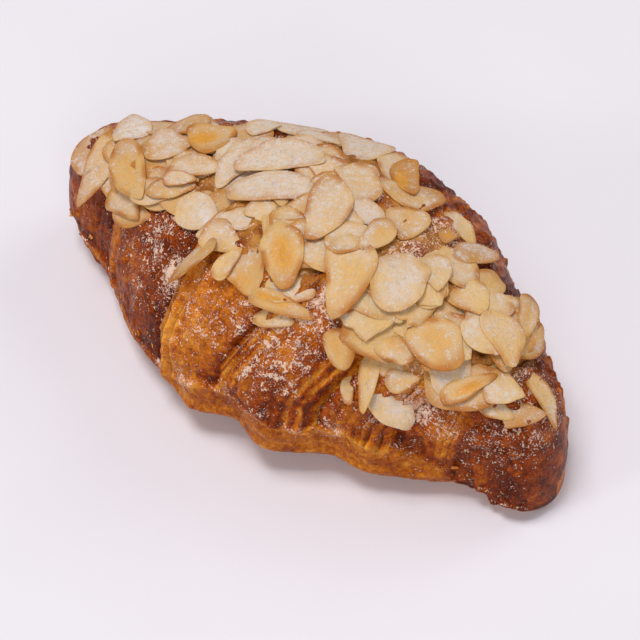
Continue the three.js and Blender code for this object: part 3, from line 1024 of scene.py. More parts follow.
    def survey(self) -> Survey:
        """Finds what lies at each point of the net.

        Returns:
            The survey.
        """
        x, around = np.meshgrid(self.xs, self.arounds, indexing="ij")
        plain = self.skin(x, around)
        stray = sum(edge.at(plain) for edge in self.torn_edges)
        band = self.band_at(x + stray, around)
        back, front = self.strewn_span(x)
        ragged = around + self.cream_edge.at(plain)
        cream = smoothstep(0, self.cream_fade, ragged - back + self.cream_past[0])
        cream = cream * smoothstep(0, self.cream_fade, front + self.cream_past[1] - ragged)
        bare = np.max([self.nearness(plain, spot) for spot in self.bare_spots], axis=0)
        cream = cream * (1 - smoothstep(*self.cream_ends, np.abs(x))) * (1 - bare)
        behind = 1 - smoothstep(*self.behind, around)
        beside = np.stack([x, 0 * x, 0 * x], -1)
        seam_back = self.foot_seam_back + self.back_seam.at(beside)
        seam = np.where(around > 90, np.interp(x, *np.transpose(self.foot_seam)), seam_back)
        seam = seam + sum(wave.at(beside) for wave in self.seam_waves)
        over_seam = plain[..., 2] - seam
        foot = 1 - smoothstep(-self.seam_fade, self.seam_fade, over_seam)
        lip_wall = 1 - smoothstep(*self.lip_wall_fade, band.outer / self.step_reach)
        lip_wall = lip_wall * (band.outer < self.lip_wall_reach * self.lip)
        striping = self.baked("striping", band)
        striping = striping + (self.back_striping - striping) * self.back_striped * behind
        striping = striping * (1 - self.foot_striped * foot) + self.lip_striping * lip_wall * (1 - foot)
        return Survey(
            x=x,
            around=around,
            behind=behind,
            plain=plain,
            stray=stray,
            band=band,
            cream=cream,
            bare=bare,
            over_seam=over_seam,
            foot=foot,
            torn=hump(over_seam, self.torn_width),
            cracks=smoothstep(*self.crack_range, 1 - np.abs(self.cracks.at(plain))) * (1 - cream),
            counted=self.layer_count(x, around),
            lip_wall=lip_wall,
            passed=np.clip(1 - band.outer / self.step_reach, 0, 1) * self.steps,
            showing=np.clip(striping, 0, 1) * (1 - cream),
        )

    def steepness(self, band: BandPlace) -> np.ndarray:
        """Gives how fully the steps of the lips show: whole on the top band, less on the others."""
        return np.where(band.on_top, 1.0, self.side_steep)

    def baked_relief(self, net: Survey) -> np.ndarray:
        """Works out the relief over the plain form.

        Args:
            net: The survey.

        Returns:
            Millimetres, fading at the tips.
        """
        form, band, plain = self.form, net.band, net.plain
        blistering = self.baked("blistering", band)
        uncovered = (1 - net.cream) * (1 - net.foot)
        blisters = np.maximum(form.bubbles.at(plain) - form.bubble_floor, 0)
        blisters += form.pinhole_share * np.maximum(form.pinholes.at(plain) - form.pinhole_floor, 0)
        rise = form.swells.at(plain) + form.pimples.at(plain)
        rise += form.blister * blisters * blistering * uncovered
        rise += form.cream_lumps.at(plain) * net.cream
        whole = np.floor(net.passed)
        stepped = -form.step_drop * (whole + smoothstep(*form.step_range, net.passed - whole))
        lip = form.upturn * hump(band.outer - form.upturn_at, form.upturn_span) * (1 - net.foot)
        lip = lip * (1 - form.upturn_creamed * net.cream) + stepped * self.steepness(band) * uncovered
        rise += lip * (1 - form.back_flattened * hump(net.around - form.back_at, form.back_span))
        leaf = np.sin(2 * math.pi * net.counted) + form.leaf_overtone * np.sin(4 * math.pi * net.counted)
        rise += form.leaf * leaf * net.showing
        height = plain[..., 2]
        pleated = [net.x + form.pleat_lean * height, height / form.pleat_stretch, band.number * BAND_SHIFT]
        rise += net.foot * (form.pleats.at(np.stack(pleated, -1)) - form.foot_inset) + form.torn * net.torn
        rise += self.swell_at(net.x) * (1 - smoothstep(-form.lobe_fade, form.lobe_fade, net.over_seam))
        rise -= form.crack * net.cracks * blistering
        return rise * (1 - smoothstep(form.tip_fade, 1, np.abs(plain[..., 0]) / (self.length / 2)))

    def browning(self, net: Survey) -> np.ndarray:
        """Works out how brown the skin baked, with painted shade and painted light added in.

        Args:
            net: The survey.

        Returns:
            Levels from about 0 for gold to 1 for dark.
        """
        oven, band, around = self.oven, net.band, net.around
        blistering = self.baked("blistering", band)
        level = self.baked("browning", band)
        level = level + (oven.back - level) * oven.back_share * (1 - smoothstep(*oven.back_reach, around))
        level += oven.patches.at(net.plain) + blistering * oven.blisters.at(net.plain)
        level += oven.bare * net.bare
        # Painted shade over the upper back
        painted_back_shade = (1 - smoothstep(*oven.back_shade_end, around)) * smoothstep(*oven.back_shade_start, around)
        level += oven.painted_back_shade * painted_back_shade
        level -= oven.join * np.exp(-band.inner / oven.join_mm) * band.near_tip
        beside_tip = band.number == len(self.creases) - 1
        level += oven.join * np.exp((band.inner - band.width) / oven.join_mm) * beside_tip
        streaked = [net.counted * self.leaf_pitch, around / oven.streak_turn, band.number * BAND_SHIFT]
        level += oven.streaks.at(np.stack(streaked, -1)) * (1 - oven.streak_broken * blistering)
        level += (oven.foot - level) * net.foot * (oven.foot_share - oven.foot_back * net.behind)
        # Darker along the creases: partly browning, partly painted shade
        crease_browning_and_shade = np.exp(-band.inner / oven.valley_mm) * ~band.on_top
        crease_browning_and_shade = crease_browning_and_shade * (1 - oven.valley_lost * band.near_tip) * (1 - oven.valley_lost * net.foot)
        level += oven.crease_browning_and_shade * crease_browning_and_shade
        level -= oven.lip_wall * net.lip_wall * (1 - net.foot)
        stepped = (net.passed > oven.step_start) * (1 - net.cream) * (1 - net.foot) * self.steepness(band)
        # Painted shade at each step's root and painted light on its ridge
        level += oven.root * hump(net.passed % 1.0 - oven.root_at, oven.root_span) * stepped
        level -= oven.painted_ridge_light * hump(net.passed % 1.0 - oven.ridge_at, oven.ridge_span) * stepped
        level += oven.crack * net.cracks - oven.torn * net.torn
        return level + oven.seam * hump(net.over_seam - oven.seam_at, oven.seam_span)

    def sugar_cover(self, net: Survey) -> np.ndarray:
        """Works out how thick the sieved sugar lies.

        Args:
            net: The survey.

        Returns:
            Cover from 0 to 1.
        """
        sieving = self.sieving
        facing = smoothstep(*sieving.holds, self.normals[..., 2])
        drifts = smoothstep(*sieving.drift_range, sieving.drifts.at(net.plain))
        dusting = self.baked("dusting", net.band)
        dusting = dusting * (1 - sieving.foot_spared * net.foot) * (1 - sieving.lip_spared * net.lip_wall)
        shown = smoothstep(*sieving.back_reach, net.around)
        dusting = dusting * (sieving.back_share + (1 - sieving.back_share) * shown)
        cover = facing * (sieving.thin + sieving.drifted * drifts) * dusting
        cover += sieving.torn * net.torn * drifts
        heaped = sieving.patch_even + (1 - sieving.patch_even) * drifts
        for patch in self.patches:
            cover = np.maximum(cover, patch.thickness * self.nearness(net.plain, patch) * heaped)
        return np.clip(cover, 0, 1)

    def at(self, grid: np.ndarray, x: np.ndarray, around: np.ndarray) -> np.ndarray:
        """Reads a grid of the net's values between its points.

        Args:
            grid: Values on the net, rings first.
            x: Places along the roll.
            around: Angles around.

        Returns:
            The values at each place.
        """
        # Stops just short of the net's last line, so that there is always a next one
        i, j = (
            np.clip(np.interp(places, lines, np.arange(len(lines))), 0, len(lines) - 1.001)
            for places, lines in ((x, self.xs), (around, self.arounds))
        )
        i0, j0 = i.astype(int), j.astype(int)
        fi, fj = i - i0, j - j0
        if grid.ndim == 3:
            fi, fj = fi[..., None], fj[..., None]
        near = grid[i0, j0] * (1 - fj) + grid[i0, j0 + 1] * fj
        far = grid[i0 + 1, j0] * (1 - fj) + grid[i0 + 1, j0 + 1] * fj
        return near * (1 - fi) + far * fi

    def lie(
        self, x: float, around: float, step: float, turn: float
    ) -> tuple[np.ndarray, np.ndarray, np.ndarray, float]:
        """Finds how the finished skin lies at a place.

        Args:
            x: Place along the roll.
            around: Angle around.
            step: How far to each side along the roll it is felt, in millimetres.
            turn: How far to each side around it is felt, in degrees.

        Returns:
            The place, its directions along the roll and outward, and millimetres for each degree around.
        """
        xs = x + np.array([-step, step, 0, 0, 0])
        angles = around + np.array([0, 0, -turn, turn, 0])
        spots = self.at(self.points, xs, angles)
        along = unit(spots[1] - spots[0])
        slope = spots[3] - spots[2]
        outward = unit(np.cross(unit(slope), along))
        return spots[4], along, outward, np.linalg.norm(slope) / (2 * turn)

    def build(self, material: bpy.types.Material) -> bpy.types.Object:
        """Makes the roll's mesh: rings of four-sided faces, closed at each tip.

        Args:
            material: The crust's finish.

        Returns:
            The roll.
        """
        rings, lines = self.points.shape[:2]
        inner = self.points[1:-1].reshape(-1, 3)
        points = np.concatenate([inner, self.points[:1, 0], self.points[-1:, 0]])
        tints = np.concatenate([self.tints[1:-1].reshape(-1, 4), self.tints[:1, 0], self.tints[-1:, 0]])
        counts = np.concatenate([self.layers[1:-1].ravel(), self.layers[:1, 0], self.layers[-1:, 0]])
        layers = np.repeat(counts[:, None], 4, axis=1)
        number = np.arange((rings - 2) * lines).reshape(rings - 2, lines)
        turned = np.roll(number, -1, axis=1)
        quads = np.stack([number[:-1], turned[:-1], turned[1:], number[1:]], -1).reshape(-1, 4)
        first, last = len(inner), len(inner) + 1
        cap_low = np.stack([turned[0], number[0], np.full(lines, first)], -1)
        cap_high = np.stack([number[-1], turned[-1], np.full(lines, last)], -1)
        caps = np.concatenate([cap_low, cap_high])
        tinted = {"crust": tints, "layers": layers}
        return make_piece("pastry_roll", points, [quads, caps], material, tinted)


class Look(Enum):
    """How a flake came out of the oven: toasting, heart, rim, toasted side and sugar, from 0 to 1."""

    CREAM = (0.1, 0.2, 0.85, 0.5, 0.42)
    SUGARED = (0.1, 0.0, 0.6, 0.35, 0.72)
    FROSTED = (0.0, 0.0, 0.4, 0.2, 1.0)
    TOASTED = (0.35, 0.4, 1.0, 0.8, 0.3)
    GOLDEN = (0.3, 1.0, 0.9, 0.6, 0.12)
    BROWN = (0.95, 0.9, 0.9, 0.3, 0.08)
    DUSKY = (0.9, 0.0, 0.6, 0.4, 0.75)


class Cut(Enum):
    """A whole slice, or one that snapped across."""

    WHOLE = "whole"
    BROKEN = "broken"


class Draw(IntEnum):
    """Which of a flake's repeatable draws settles what; two things may share one."""

    LENGTH = 1
    ASPECT = 2
    TURN = 3
    TOAST = 3
    LOOK = 4
    CUT = 6
    BOW = 7
    PLACE_X = 8
    CUP = 9
    PLACE_AROUND = 9
    TWIST = 11
    POINT = 13
    WAVE_SHIFT = 17
    HEART_ALONG = 19
    HEART_ACROSS = 21
    SIDE = 23
    WAVE_STRENGTH = 31
    SNAP = 41
    SLANT = 43
    BEND = 47


@dataclass(frozen=True)
class Flake:
    """One almond slice: its place, turn and size, its layer (BENEATH or higher), its look and its roll."""

    x: float
    around: float
    turn: float
    length: float
    width: float
    layer: int
    look: Look
    cut: Cut = Cut.WHOLE
    roll: float = 0.0
    seed: int = 0


PLACED_FLAKES: tuple[Flake, ...] = (
    Flake(-65, 106, -84, 15, 9, 0, Look.DUSKY),
    Flake(-59.5, 119, 83, 20, 8.5, 1, Look.CREAM),
    Flake(-58.5, 83, 89, 12, 8.5, 2, Look.FROSTED),
    Flake(-48.5, 113, 29, 20, 10, 3, Look.CREAM),
    Flake(-46, 127, -5, 14, 8, 2, Look.CREAM),
    Flake(-43, 131, -16, 13, 7, 1, Look.CREAM),
    Flake(-38, 113, -50, 14, 7, 0, Look.SUGARED),
    Flake(-36, 108, -45, 13, 6, 1, Look.CREAM),
    Flake(-37, 81, -34, 13, 10.5, 2, Look.GOLDEN),
    Flake(-45, 90, -14, 12, 11, 1, Look.SUGARED),
    Flake(-34.5, 94, -31, 14, 7.5, 1, Look.CREAM),
    Flake(-35.5, 103, -34, 8, 4.5, 2, Look.CREAM),
    Flake(-53, 75, -28, 11, 7, 0, Look.CREAM),
    Flake(-24, 112, 9, 14, 10, 1, Look.FROSTED),
    Flake(-14, 116, 0, 12, 8, 0, Look.CREAM),
    Flake(-31, 64, -58, 10, 6, 0, Look.SUGARED),
    Flake(-17, 81, -23, 23, 11, 2, Look.SUGARED),
    Flake(-15, 66, -3, 12, 5, 1, Look.SUGARED),
    Flake(-23, 57, -25, 13, 6, 0, Look.SUGARED),
    Flake(-11.5, 92, -24, 25, 9.5, 1, Look.SUGARED),
    Flake(-4.5, 58, -28, 15, 11, 1, Look.SUGARED),
    Flake(2.5, 112, 47, 17, 10.5, 1, Look.GOLDEN),
    Flake(4, 92, 70, 19.5, 11, 2, Look.CREAM),
    Flake(12.5, 96, -48, 13, 9, 1, Look.CREAM),
    Flake(9.5, 63, 51, 13, 7.5, 2, Look.BROWN),
    Flake(20, 80, 49, 12, 9.5, 2, Look.TOASTED),
    Flake(17.5, 91, 86, 13, 6.5, 2, Look.CREAM),
    Flake(-8.5, 123, -86, 10, 5, 1, Look.CREAM),
    Flake(-3.5, 123, 49, 12.5, 9.5, 0, Look.TOASTED),
    Flake(8.5, 122, -24, 12.5, 7.5, 0, Look.CREAM),
    Flake(8.5, 127.5, -11, 17, 5, 2, Look.GOLDEN),
    Flake(8, 133, -22, 12, 4.5, 0, Look.CREAM),
    Flake(18.5, 108, 69, 23, 11.5, 2, Look.CREAM),
    Flake(27.5, 100, 71, 17, 13.5, 3, Look.SUGARED),
    Flake(27.5, 71, -84, 5.5, 4, 1, Look.BROWN),
    Flake(27.5, 60, 9, 12, 6, 1, Look.CREAM),
    Flake(35, 66, -71, 13, 7, 2, Look.DUSKY),
    Flake(32.5, 88, 23, 11, 8.5, 1, Look.SUGARED),
    Flake(42.5, 83, 0, 10.5, 9.5, 2, Look.CREAM),
    Flake(47, 85, 82, 16, 9.5, 1, Look.SUGARED),
    Flake(53, 66, 50, 15, 5.5, 1, Look.TOASTED),
    Flake(25, 132, 47, 11, 6.5, 0, Look.TOASTED),
    Flake(32.5, 139, 73, 17, 5, 1, Look.CREAM),
    Flake(29, 148, 70, 8.5, 3, 0, Look.CREAM),
    Flake(43, 113, 34, 14, 13, 2, Look.TOASTED),
    Flake(35, 123, 9, 11, 7, 1, Look.TOASTED),
    Flake(39, 149, 39, 14, 9.5, 0, Look.FROSTED),
    Flake(39.5, 135, -20, 8.5, 5, 1, Look.CREAM),
    Flake(53, 121, -25, 21.5, 12.5, 1, Look.TOASTED),
    Flake(53, 123, -58, 13.5, 5.5, 3, Look.GOLDEN),
    Flake(59.5, 110, -6, 9, 8.5, 2, Look.SUGARED),
    Flake(60.5, 121, -12, 9, 5, 0, Look.CREAM),
    Flake(65.5, 108, -65, 10.5, 5.5, 0, Look.DUSKY),
    Flake(66.5, 82, 10, 15, 5, 1, Look.CREAM),
    Flake(53.5, 86, 27, 14.5, 9, 2, Look.SUGARED),
    Flake(49, 94, 25, 13, 8, 1, Look.SUGARED),
    Flake(-16.5, 128, 112, 15, 8, 0, Look.TOASTED, roll=25),
)


@dataclass(frozen=True)
class PlateNet:
    """How finely a slice is netted: points round its outline, and rings from its middle to its rim."""

    segments: int
    rings: tuple[float, ...]
    rim_round: float

    def faces(self) -> tuple[np.ndarray, np.ndarray]:
        """Numbers one slice's faces.

        Returns:
            The rings' four-sided faces and the two middles' triangles.
        """
        rings = 2 * len(self.rings) + 1
        number = 1 + np.arange(rings * self.segments).reshape(rings, self.segments)
        turned = np.roll(number, -1, axis=1)
        quads = np.stack([number[:-1], number[1:], turned[1:], turned[:-1]], -1).reshape(-1, 4)
        top = np.stack([np.zeros(self.segments, int), number[0], turned[0]], -1)
        low = np.stack([np.full(self.segments, rings * self.segments + 1), turned[-1], number[-1]], -1)
        return quads, np.concatenate([top, low])

    def lay_out(self, edge: np.ndarray) -> tuple[np.ndarray, np.ndarray, np.ndarray, np.ndarray]:
        """Lays a slice's vertices out flat: over the top, round the rim and under the bottom.

        Args:
            edge: The slice's outline.

        Returns:
            Points lengthwise and crosswise, their shares of the way to the rim, 1 for the top and -1
            for the bottom, and their height as a share of half the thickness.
        """
        rings = np.array([*self.rings, 1.0, *self.rings[::-1]])
        side = np.sign(np.arange(len(self.rings), -len(self.rings) - 1, -1.0))
        rounded = np.clip((rings - 1 + self.rim_round) / self.rim_round, 0, 1)
        bulk = np.sqrt(np.clip(1 - rounded**2, 0, 1)) * side
        flat = (rings[:, None, None] * edge[None]).reshape(-1, 2)
        flat = np.concatenate([[[0.0, 0.0]], flat, [[0.0, 0.0]]])
        shares, face, bulk = (
            np.concatenate([[top], np.repeat(values, self.segments), [low]])
            for values, top, low in ((rings, 0, 0), (side, 1, -1), (bulk, 1, -1))
        )
        return flat, shares, face, bulk


@dataclass(frozen=True)
class SliceForm:
    """How unevenly almonds were sliced and how they warped: shares of their size, and millimetres."""

    waves: tuple[int, int] = (2, 9)
    uneven: float = 0.13
    uneven_power: float = 1.2
    uneven_least: float = 0.4
    pointed: float = 0.1
    pointed_more: float = 0.35
    bent: float = 0.12
    snap: float = 0.05
    snap_more: float = 0.25
    snap_least: float = 0.1
    snap_slant: float = 0.25
    snap_ragged: Pattern = Pattern(2.0, 0.06, 3)
    bow: float = 1.1
    bow_flat: float = 0.6
    cup: float = 1.0
    cup_flat: float = 0.4
    twist: float = 1.6
    twist_flat: float = 0.5
    curl_level: float = 0.25
    curl_full: float = 11.0
    curl_beneath: float = 0.35
    wavy: Pattern = Pattern(4, 0.2, 5)
    wavy_shift: float = 1.7
    heart_dip: float = 0.2
    heart_aside: float = 0.3
    heart_long: float = 0.09
    heart_wide: float = 0.06


@dataclass(frozen=True)
class ToastedLook:
    """How toasting and sugar lie on a slice: rims, hearts, sides and drifts, and darker toast on the left
    end as painted shade.
    """

    rim_range: Pair = (0.62, 0.96)
    rim_patches: Pattern = Pattern(3.0, 0.5, 15)
    rim_patch_range: Pair = (0.3, 0.75)
    rim_least: float = 0.1
    rim_more: float = 1.1
    heart_range: Pair = (0.2, 0.8)
    uneven: float = 0.3
    side_range: Pair = (0.2, 1.0)
    # Darker toast towards the left end: painted shade
    left_painted_shade: float = 0.3
    far_range: Pair = (20.0, 50.0)
    drifts: Pattern = Pattern(6, 1.0, 73, 3)
    sieved_more: float = 2.0
    sieved_middle: Triple = (-14.0, 12.0, 48.0)
    sieved_reach: Triple = (34.0, 20.0, 25.0)
    sieved_most: float = 0.6
    sieved_least: float = 0.05
    film: float = 0.16
    film_share: float = 0.34
    drift_share: float = 0.5
    sugar_steps: tuple[float, ...] = (0.1, 0.4, 0.7, 1.0)
    sugar_most: tuple[float, ...] = (0.24, 0.44, 0.54, 0.9)
    rim_bare: float = 0.85
    rim_sugared: float = 0.6
    rim_bare_range: Pair = (0.7, 0.98)
    heart_bare: float = 0.85
    under_sugar: float = 0.15
    fibre_stretch: float = 2.2
    fibre_shift: float = 3.7


@dataclass
class Plate:
    """One slice as laid: its vertices, tints and places along its fibres, and where they lie."""

    points: np.ndarray
    tints: np.ndarray
    fibres: np.ndarray
    x: np.ndarray
    around: np.ndarray
    risen: np.ndarray


@dataclass
class AlmondCrust:
    """Sliced almonds strewn over the roll: each lies on the skin and on those laid before it."""

    roll: Roll
    form: SliceForm = SliceForm()
    toasting: ToastedLook = ToastedLook()
    thick: float = 0.45
    sunk_share: float = 62.0
    layer_lift: float = 8.0
    levelling: float = 0.35
    level_least: float = 0.25
    level_range: Pair = (55.0, 85.0)
    tipping: float = 0.85
    drape: float = 0.6
    bend_range: Pair = (-0.02, 0.012)
    standing_rest: float = 1.2
    pile_most: float = 5.0
    sky_gap: float = 0.5
    seat_mm: float = 4.0
    seat_turn: float = 6.0
    seat_rings: int = 25
    row_angles: tuple[float, ...] = (48, 61, 74, 87, 100, 113)
    row_pitch: float = 12.5
    row_reach: float = 58.0
    row_stray: float = 6.0
    row_past: float = 4.0
    row_clear: float = 7.5
    bare_clear: float = 0.12
    fill_length: Pair = (9.0, 18.0)
    fill_aspect: Pair = (0.5, 0.8)
    fill_looks: tuple[Look, ...] = (Look.SUGARED, Look.CREAM, Look.CREAM, Look.TOASTED)
    fill_broken: float = 0.6
    under_count: int = 104
    # First seed and the step to the next: a step apart, flakes share few draws
    under_seeds: tuple[int, int] = (5000, 11)
    row_seeds: tuple[int, int] = (5, 5)
    placed_seeds: tuple[int, int] = (1000, 7)
    net: PlateNet = PlateNet(40, (0.4, 0.7, 0.88, 0.97, 0.99), 0.03)
    pile: np.ndarray = field(init=False)
    plates: list[Plate] = field(init=False)

    def __post_init__(self) -> None:
        """Starts with nothing on the skin."""
        self.pile = np.zeros(self.roll.points.shape[:2])
        self.plates = []

    def is_close(self, flake: Flake, spots: tuple[Flake | BareSpot, ...], reach: np.ndarray) -> bool:
        """Tells whether a flake's middle lies close to any of some spots.

        Args:
            flake: The flake.
            spots: The spots.
            reach: How close is too close for each spot, in millimetres.

        Returns:
            True where it does.
        """
        places = [(flake.x, flake.around), *((spot.x, spot.around) for spot in spots)]
        middle, *others = self.roll.skin(*np.array(places, float).T)
        return bool((np.linalg.norm(np.array(others) - middle, axis=1) < reach).any())

    def is_bare(self, flake: Flake) -> bool:
        """Tells whether a strewn flake would hide a spot where crust shows."""
        reach = np.array([s.radius for s in self.roll.bare_spots]) + self.bare_clear * flake.length
        return self.is_close(flake, self.roll.bare_spots, reach)

    def is_covered(self, flake: Flake) -> bool:
        """Tells whether a strewn flake would lie close to a placed flake's middle."""
        reach = np.maximum(self.row_clear, np.array([f.length for f in PLACED_FLAKES]) / 2)
        return self.is_close(flake, PLACED_FLAKES, reach)

    def random_flake(self, x: float, around: float, seed: int) -> Flake:
        """Draws a flake's size, turn and look for a spot.

        Args:
            x: Place along the roll.
            around: Angle around.
            seed: Number that picks the draws.

        Returns:
            The flake.
        """
        length = float(np.interp(draw(seed + Draw.LENGTH), (0, 1), self.fill_length))
        width = length * float(np.interp(draw(seed + Draw.ASPECT), (0, 1), self.fill_aspect))
        look = self.fill_looks[int(len(self.fill_looks) * draw(seed + Draw.LOOK))]
        cut = Cut.BROKEN if draw(seed + Draw.CUT) < self.fill_broken else Cut.WHOLE
        return Flake(x, around, 180 * draw(seed + Draw.TURN), length, width, BENEATH, look, cut, seed=seed)

    def under_flakes(self) -> list[Flake]:
        """Strews the lowest flakes, which show between the others.

        Returns:
            The flakes.
        """
        flakes = []
        for number, seed in zip(range(self.under_count), count(*self.under_seeds)):
            x = self.row_reach * (2 * (number + draw(seed + Draw.PLACE_X)) / self.under_count - 1)
            back, front = self.roll.strewn_span(x)
            around = back + (front - back) * draw(seed + Draw.PLACE_AROUND)
            flakes.append(self.random_flake(x, around, seed))
        return [flake for flake in flakes if not self.is_bare(flake)]

    def filling_flakes(self) -> list[Flake]:
        """Strews flakes in rows over the free spots of the crown.

        Returns:
            The flakes.
        """
        flakes = []
        seeds = count(*self.row_seeds)
        for row, row_angle in enumerate(self.row_angles):
            first = -self.row_reach + (row % 2) * self.row_pitch / 2
            for x in np.arange(first, self.row_reach + 0.01, self.row_pitch):
                seed = next(seeds)
                around = row_angle + self.row_stray * (draw(seed) - 0.5)
                back, front = self.roll.strewn_span(float(x))
                if back - self.row_past < around < front:
                    flakes.append(self.random_flake(float(x), around, seed))
        return [flake for flake in flakes if not self.is_covered(flake) and not self.is_bare(flake)]

    def outline(self, flake: Flake) -> np.ndarray:
        """Draws an almond's uneven outline.

        Args:
            flake: The flake.

        Returns:
            Points lengthwise and crosswise, in millimetres.
        """
        form, seed = self.form, flake.seed
        angle = np.linspace(0, 2 * math.pi, self.net.segments, endpoint=False)
        uneven = np.ones_like(angle)
        for wave in range(*form.waves):
            strength = form.uneven_least + draw(seed + Draw.WAVE_STRENGTH * wave)
            shift = ONE_TURN * draw(seed + Draw.WAVE_SHIFT * wave)
            uneven += form.uneven / wave**form.uneven_power * strength * np.cos(wave * angle + shift)
        pointed = form.pointed + form.pointed_more * draw(seed + Draw.POINT)
        across = np.sin(angle) * (1 - pointed * np.cos(angle))
        edge = np.stack([flake.length / 2 * np.cos(angle), flake.width / 2 * across], -1) * uneven[:, None]
        edge[:, 1] += form.bent * flake.width * (draw(seed + Draw.BEND) - 0.5) * (2 * np.cos(angle)) ** 2
        if flake.cut is Cut.BROKEN:
            places = np.stack([edge[:, 1], np.full(len(edge), seed), 0 * angle], -1)
            snap = form.snap + form.snap_more * draw(seed + Draw.SNAP) + form.snap_ragged.at(places)
            snap = flake.length * snap + form.snap_slant * edge[:, 1] * (draw(seed + Draw.SLANT) - 0.5)
            snap = np.maximum(snap, form.snap_least * flake.length)
            past = edge[:, 0] > snap
            edge[past] *= (snap / np.maximum(edge[:, 0], snap))[past, None]
        return edge

    def warp(self, flake: Flake, flat: np.ndarray, bend: np.ndarray) -> np.ndarray:
        """Gives how a flake warped in the oven and bends over what is under it.

        Args:
            flake: The flake.
            flat: Points lengthwise and crosswise.
            bend: Shares of the squares of those and of their product.

        Returns:
            Height over its plane.
        """
        form, seed = self.form, flake.seed
        p, q = flat[..., 0], flat[..., 1]
        pressed = form.curl_beneath if flake.layer == BENEATH else 1.0
        size = min(1.0, flake.length / form.curl_full) * pressed
        bow = form.bow * (draw(seed + Draw.BOW) - form.bow_flat)
        cup = form.cup * (draw(seed + Draw.CUP) - form.cup_flat)
        twist = form.twist * (draw(seed + Draw.TWIST) - form.twist_flat)
        long, wide = p / flake.length, q / flake.width
        curl = bow * (2 * long * long - form.curl_level) + cup * (2 * wide * wide - form.curl_level)
        places = np.stack([p, q, np.full(p.shape, seed * form.wavy_shift)], -1)
        curl = curl + twist * long * wide + form.wavy.at(places)
        return size * curl + bend[0] * p * p + bend[1] * q * q + bend[2] * p * q

    def levelled(self, flake: Flake) -> float:
        """Gives how far a flake lies back towards level; strewn ones on the back follow the slope.

        Args:
            flake: The flake.

        Returns:
            Share of the upright added to its outward direction.
        """
        if flake.layer != BENEATH:
            return self.levelling
        crown = float(smoothstep(*self.level_range, np.array(flake.around)))
        return self.levelling * (self.level_least + (1 - self.level_least) * crown)

    def seat(self, flake: Flake) -> tuple[np.ndarray, np.ndarray, np.ndarray, np.ndarray, float]:
        """Finds a flake's place on the skin.

        Args:
            flake: The flake.

        Returns:
            The place, its lengthwise, crosswise and outward directions, and millimetres to a degree.
        """
        spot, along, outward, pace = self.roll.lie(flake.x, flake.around, self.seat_mm, self.seat_turn)
        outward = unit(outward + np.array([0, 0, self.levelled(flake)]))
        downhill = unit(np.cross(along, outward))
        along = np.cross(outward, downhill)
        turn = math.radians(flake.turn)
        lengthwise = along * math.cos(turn) + downhill * math.sin(turn)
        roll = math.radians(flake.roll)
        tilted = outward * math.cos(roll) - np.cross(outward, lengthwise) * math.sin(roll)
        return spot, lengthwise, np.cross(tilted, lengthwise), tilted, pace

    def spread(self, flake: Flake, flat: np.ndarray, pace: float) -> tuple[np.ndarray, np.ndarray]:
        """Finds what part of the skin lies under a flake's points.

        Args:
            flake: The flake.
            flat: Points lengthwise and crosswise.
            pace: Millimetres for each degree around.

        Returns:
            Places along the roll and angles around.
        """
        p, q = flat.T
        turn = math.radians(flake.turn)
        x = flake.x + p * math.cos(turn) + q * math.sin(turn)
        return x, flake.around + (p * math.sin(turn) - q * math.cos(turn)) / pace

    def lay(self, flake: Flake) -> None:
        """Lays one flake on the pile: tips and bends it to what is under it, and adds it to the pile.

        Args:
            flake: The flake.
        """
        edge = self.outline(flake)
        place, lengthwise, crosswise, outward, pace = self.seat(flake)
        shares = np.sqrt(np.linspace(0, 1, self.seat_rings))
        flat = (shares[:, None, None] * edge[None]).reshape(-1, 2)
        p, q = flat.T
        x, around = self.spread(flake, flat, pace)
        ground = self.roll.at(self.roll.points, x, around)
        over = self.roll.at(self.roll.normals, x, around)
        support = ground + over * self.roll.at(self.pile, x, around)[:, None]
        bend = np.zeros(3)
        rest = self.standing_rest
        if not flake.roll:
            terms = np.stack([p, q, np.ones(len(p)), p * p, q * q, p * q], -1)
            tip = np.linalg.lstsq(terms, (support - place) @ outward, rcond=None)[0]
            outward = unit(outward - self.tipping * (tip[0] * lengthwise + tip[1] * crosswise))
            upright = self.levelled(flake) * (1 + abs(flake.x) / self.row_reach)
            outward = unit(outward + np.array([0, 0, upright]))
            lengthwise = unit(lengthwise - outward * (lengthwise @ outward))
            crosswise = np.cross(outward, lengthwise)
            height = (support - place) @ outward
            bent = np.linalg.lstsq(terms, height, rcond=None)[0][3:]
            bend = self.drape * np.clip(bent, *self.bend_range)
            warped = self.warp(flake, flat, bend)
            sunk = self.sunk_share + self.layer_lift * flake.layer
            rest = np.percentile(height - warped, sunk) + self.thick / 2
            top = place + p[:, None] * lengthwise + q[:, None] * crosswise
            top = top + (rest + self.thick / 2 + warped)[:, None] * outward
            self.heap(x, around, ((top - ground) * over).sum(-1))
        self.add_plate(flake, edge, bend, place + outward * rest, (lengthwise, crosswise, outward), pace)

    def heap(self, x: np.ndarray, around: np.ndarray, risen: np.ndarray) -> None:
        """Raises the pile under a flake.

        Args:
            x: Places along the roll.
            around: Angles around.
            risen: The flake's top over the skin there.
        """
        i = np.clip(np.interp(x, self.roll.xs, np.arange(len(self.roll.xs))), 0, len(self.roll.xs) - 1)
        j = np.interp(around, self.roll.arounds, np.arange(len(self.roll.arounds)))
        for near_i, near_j in product((np.floor, np.ceil), repeat=2):
            cells = (near_i(i).astype(int), near_j(j).astype(int))
            np.maximum.at(self.pile, cells, np.clip(risen, 0, self.pile_most))

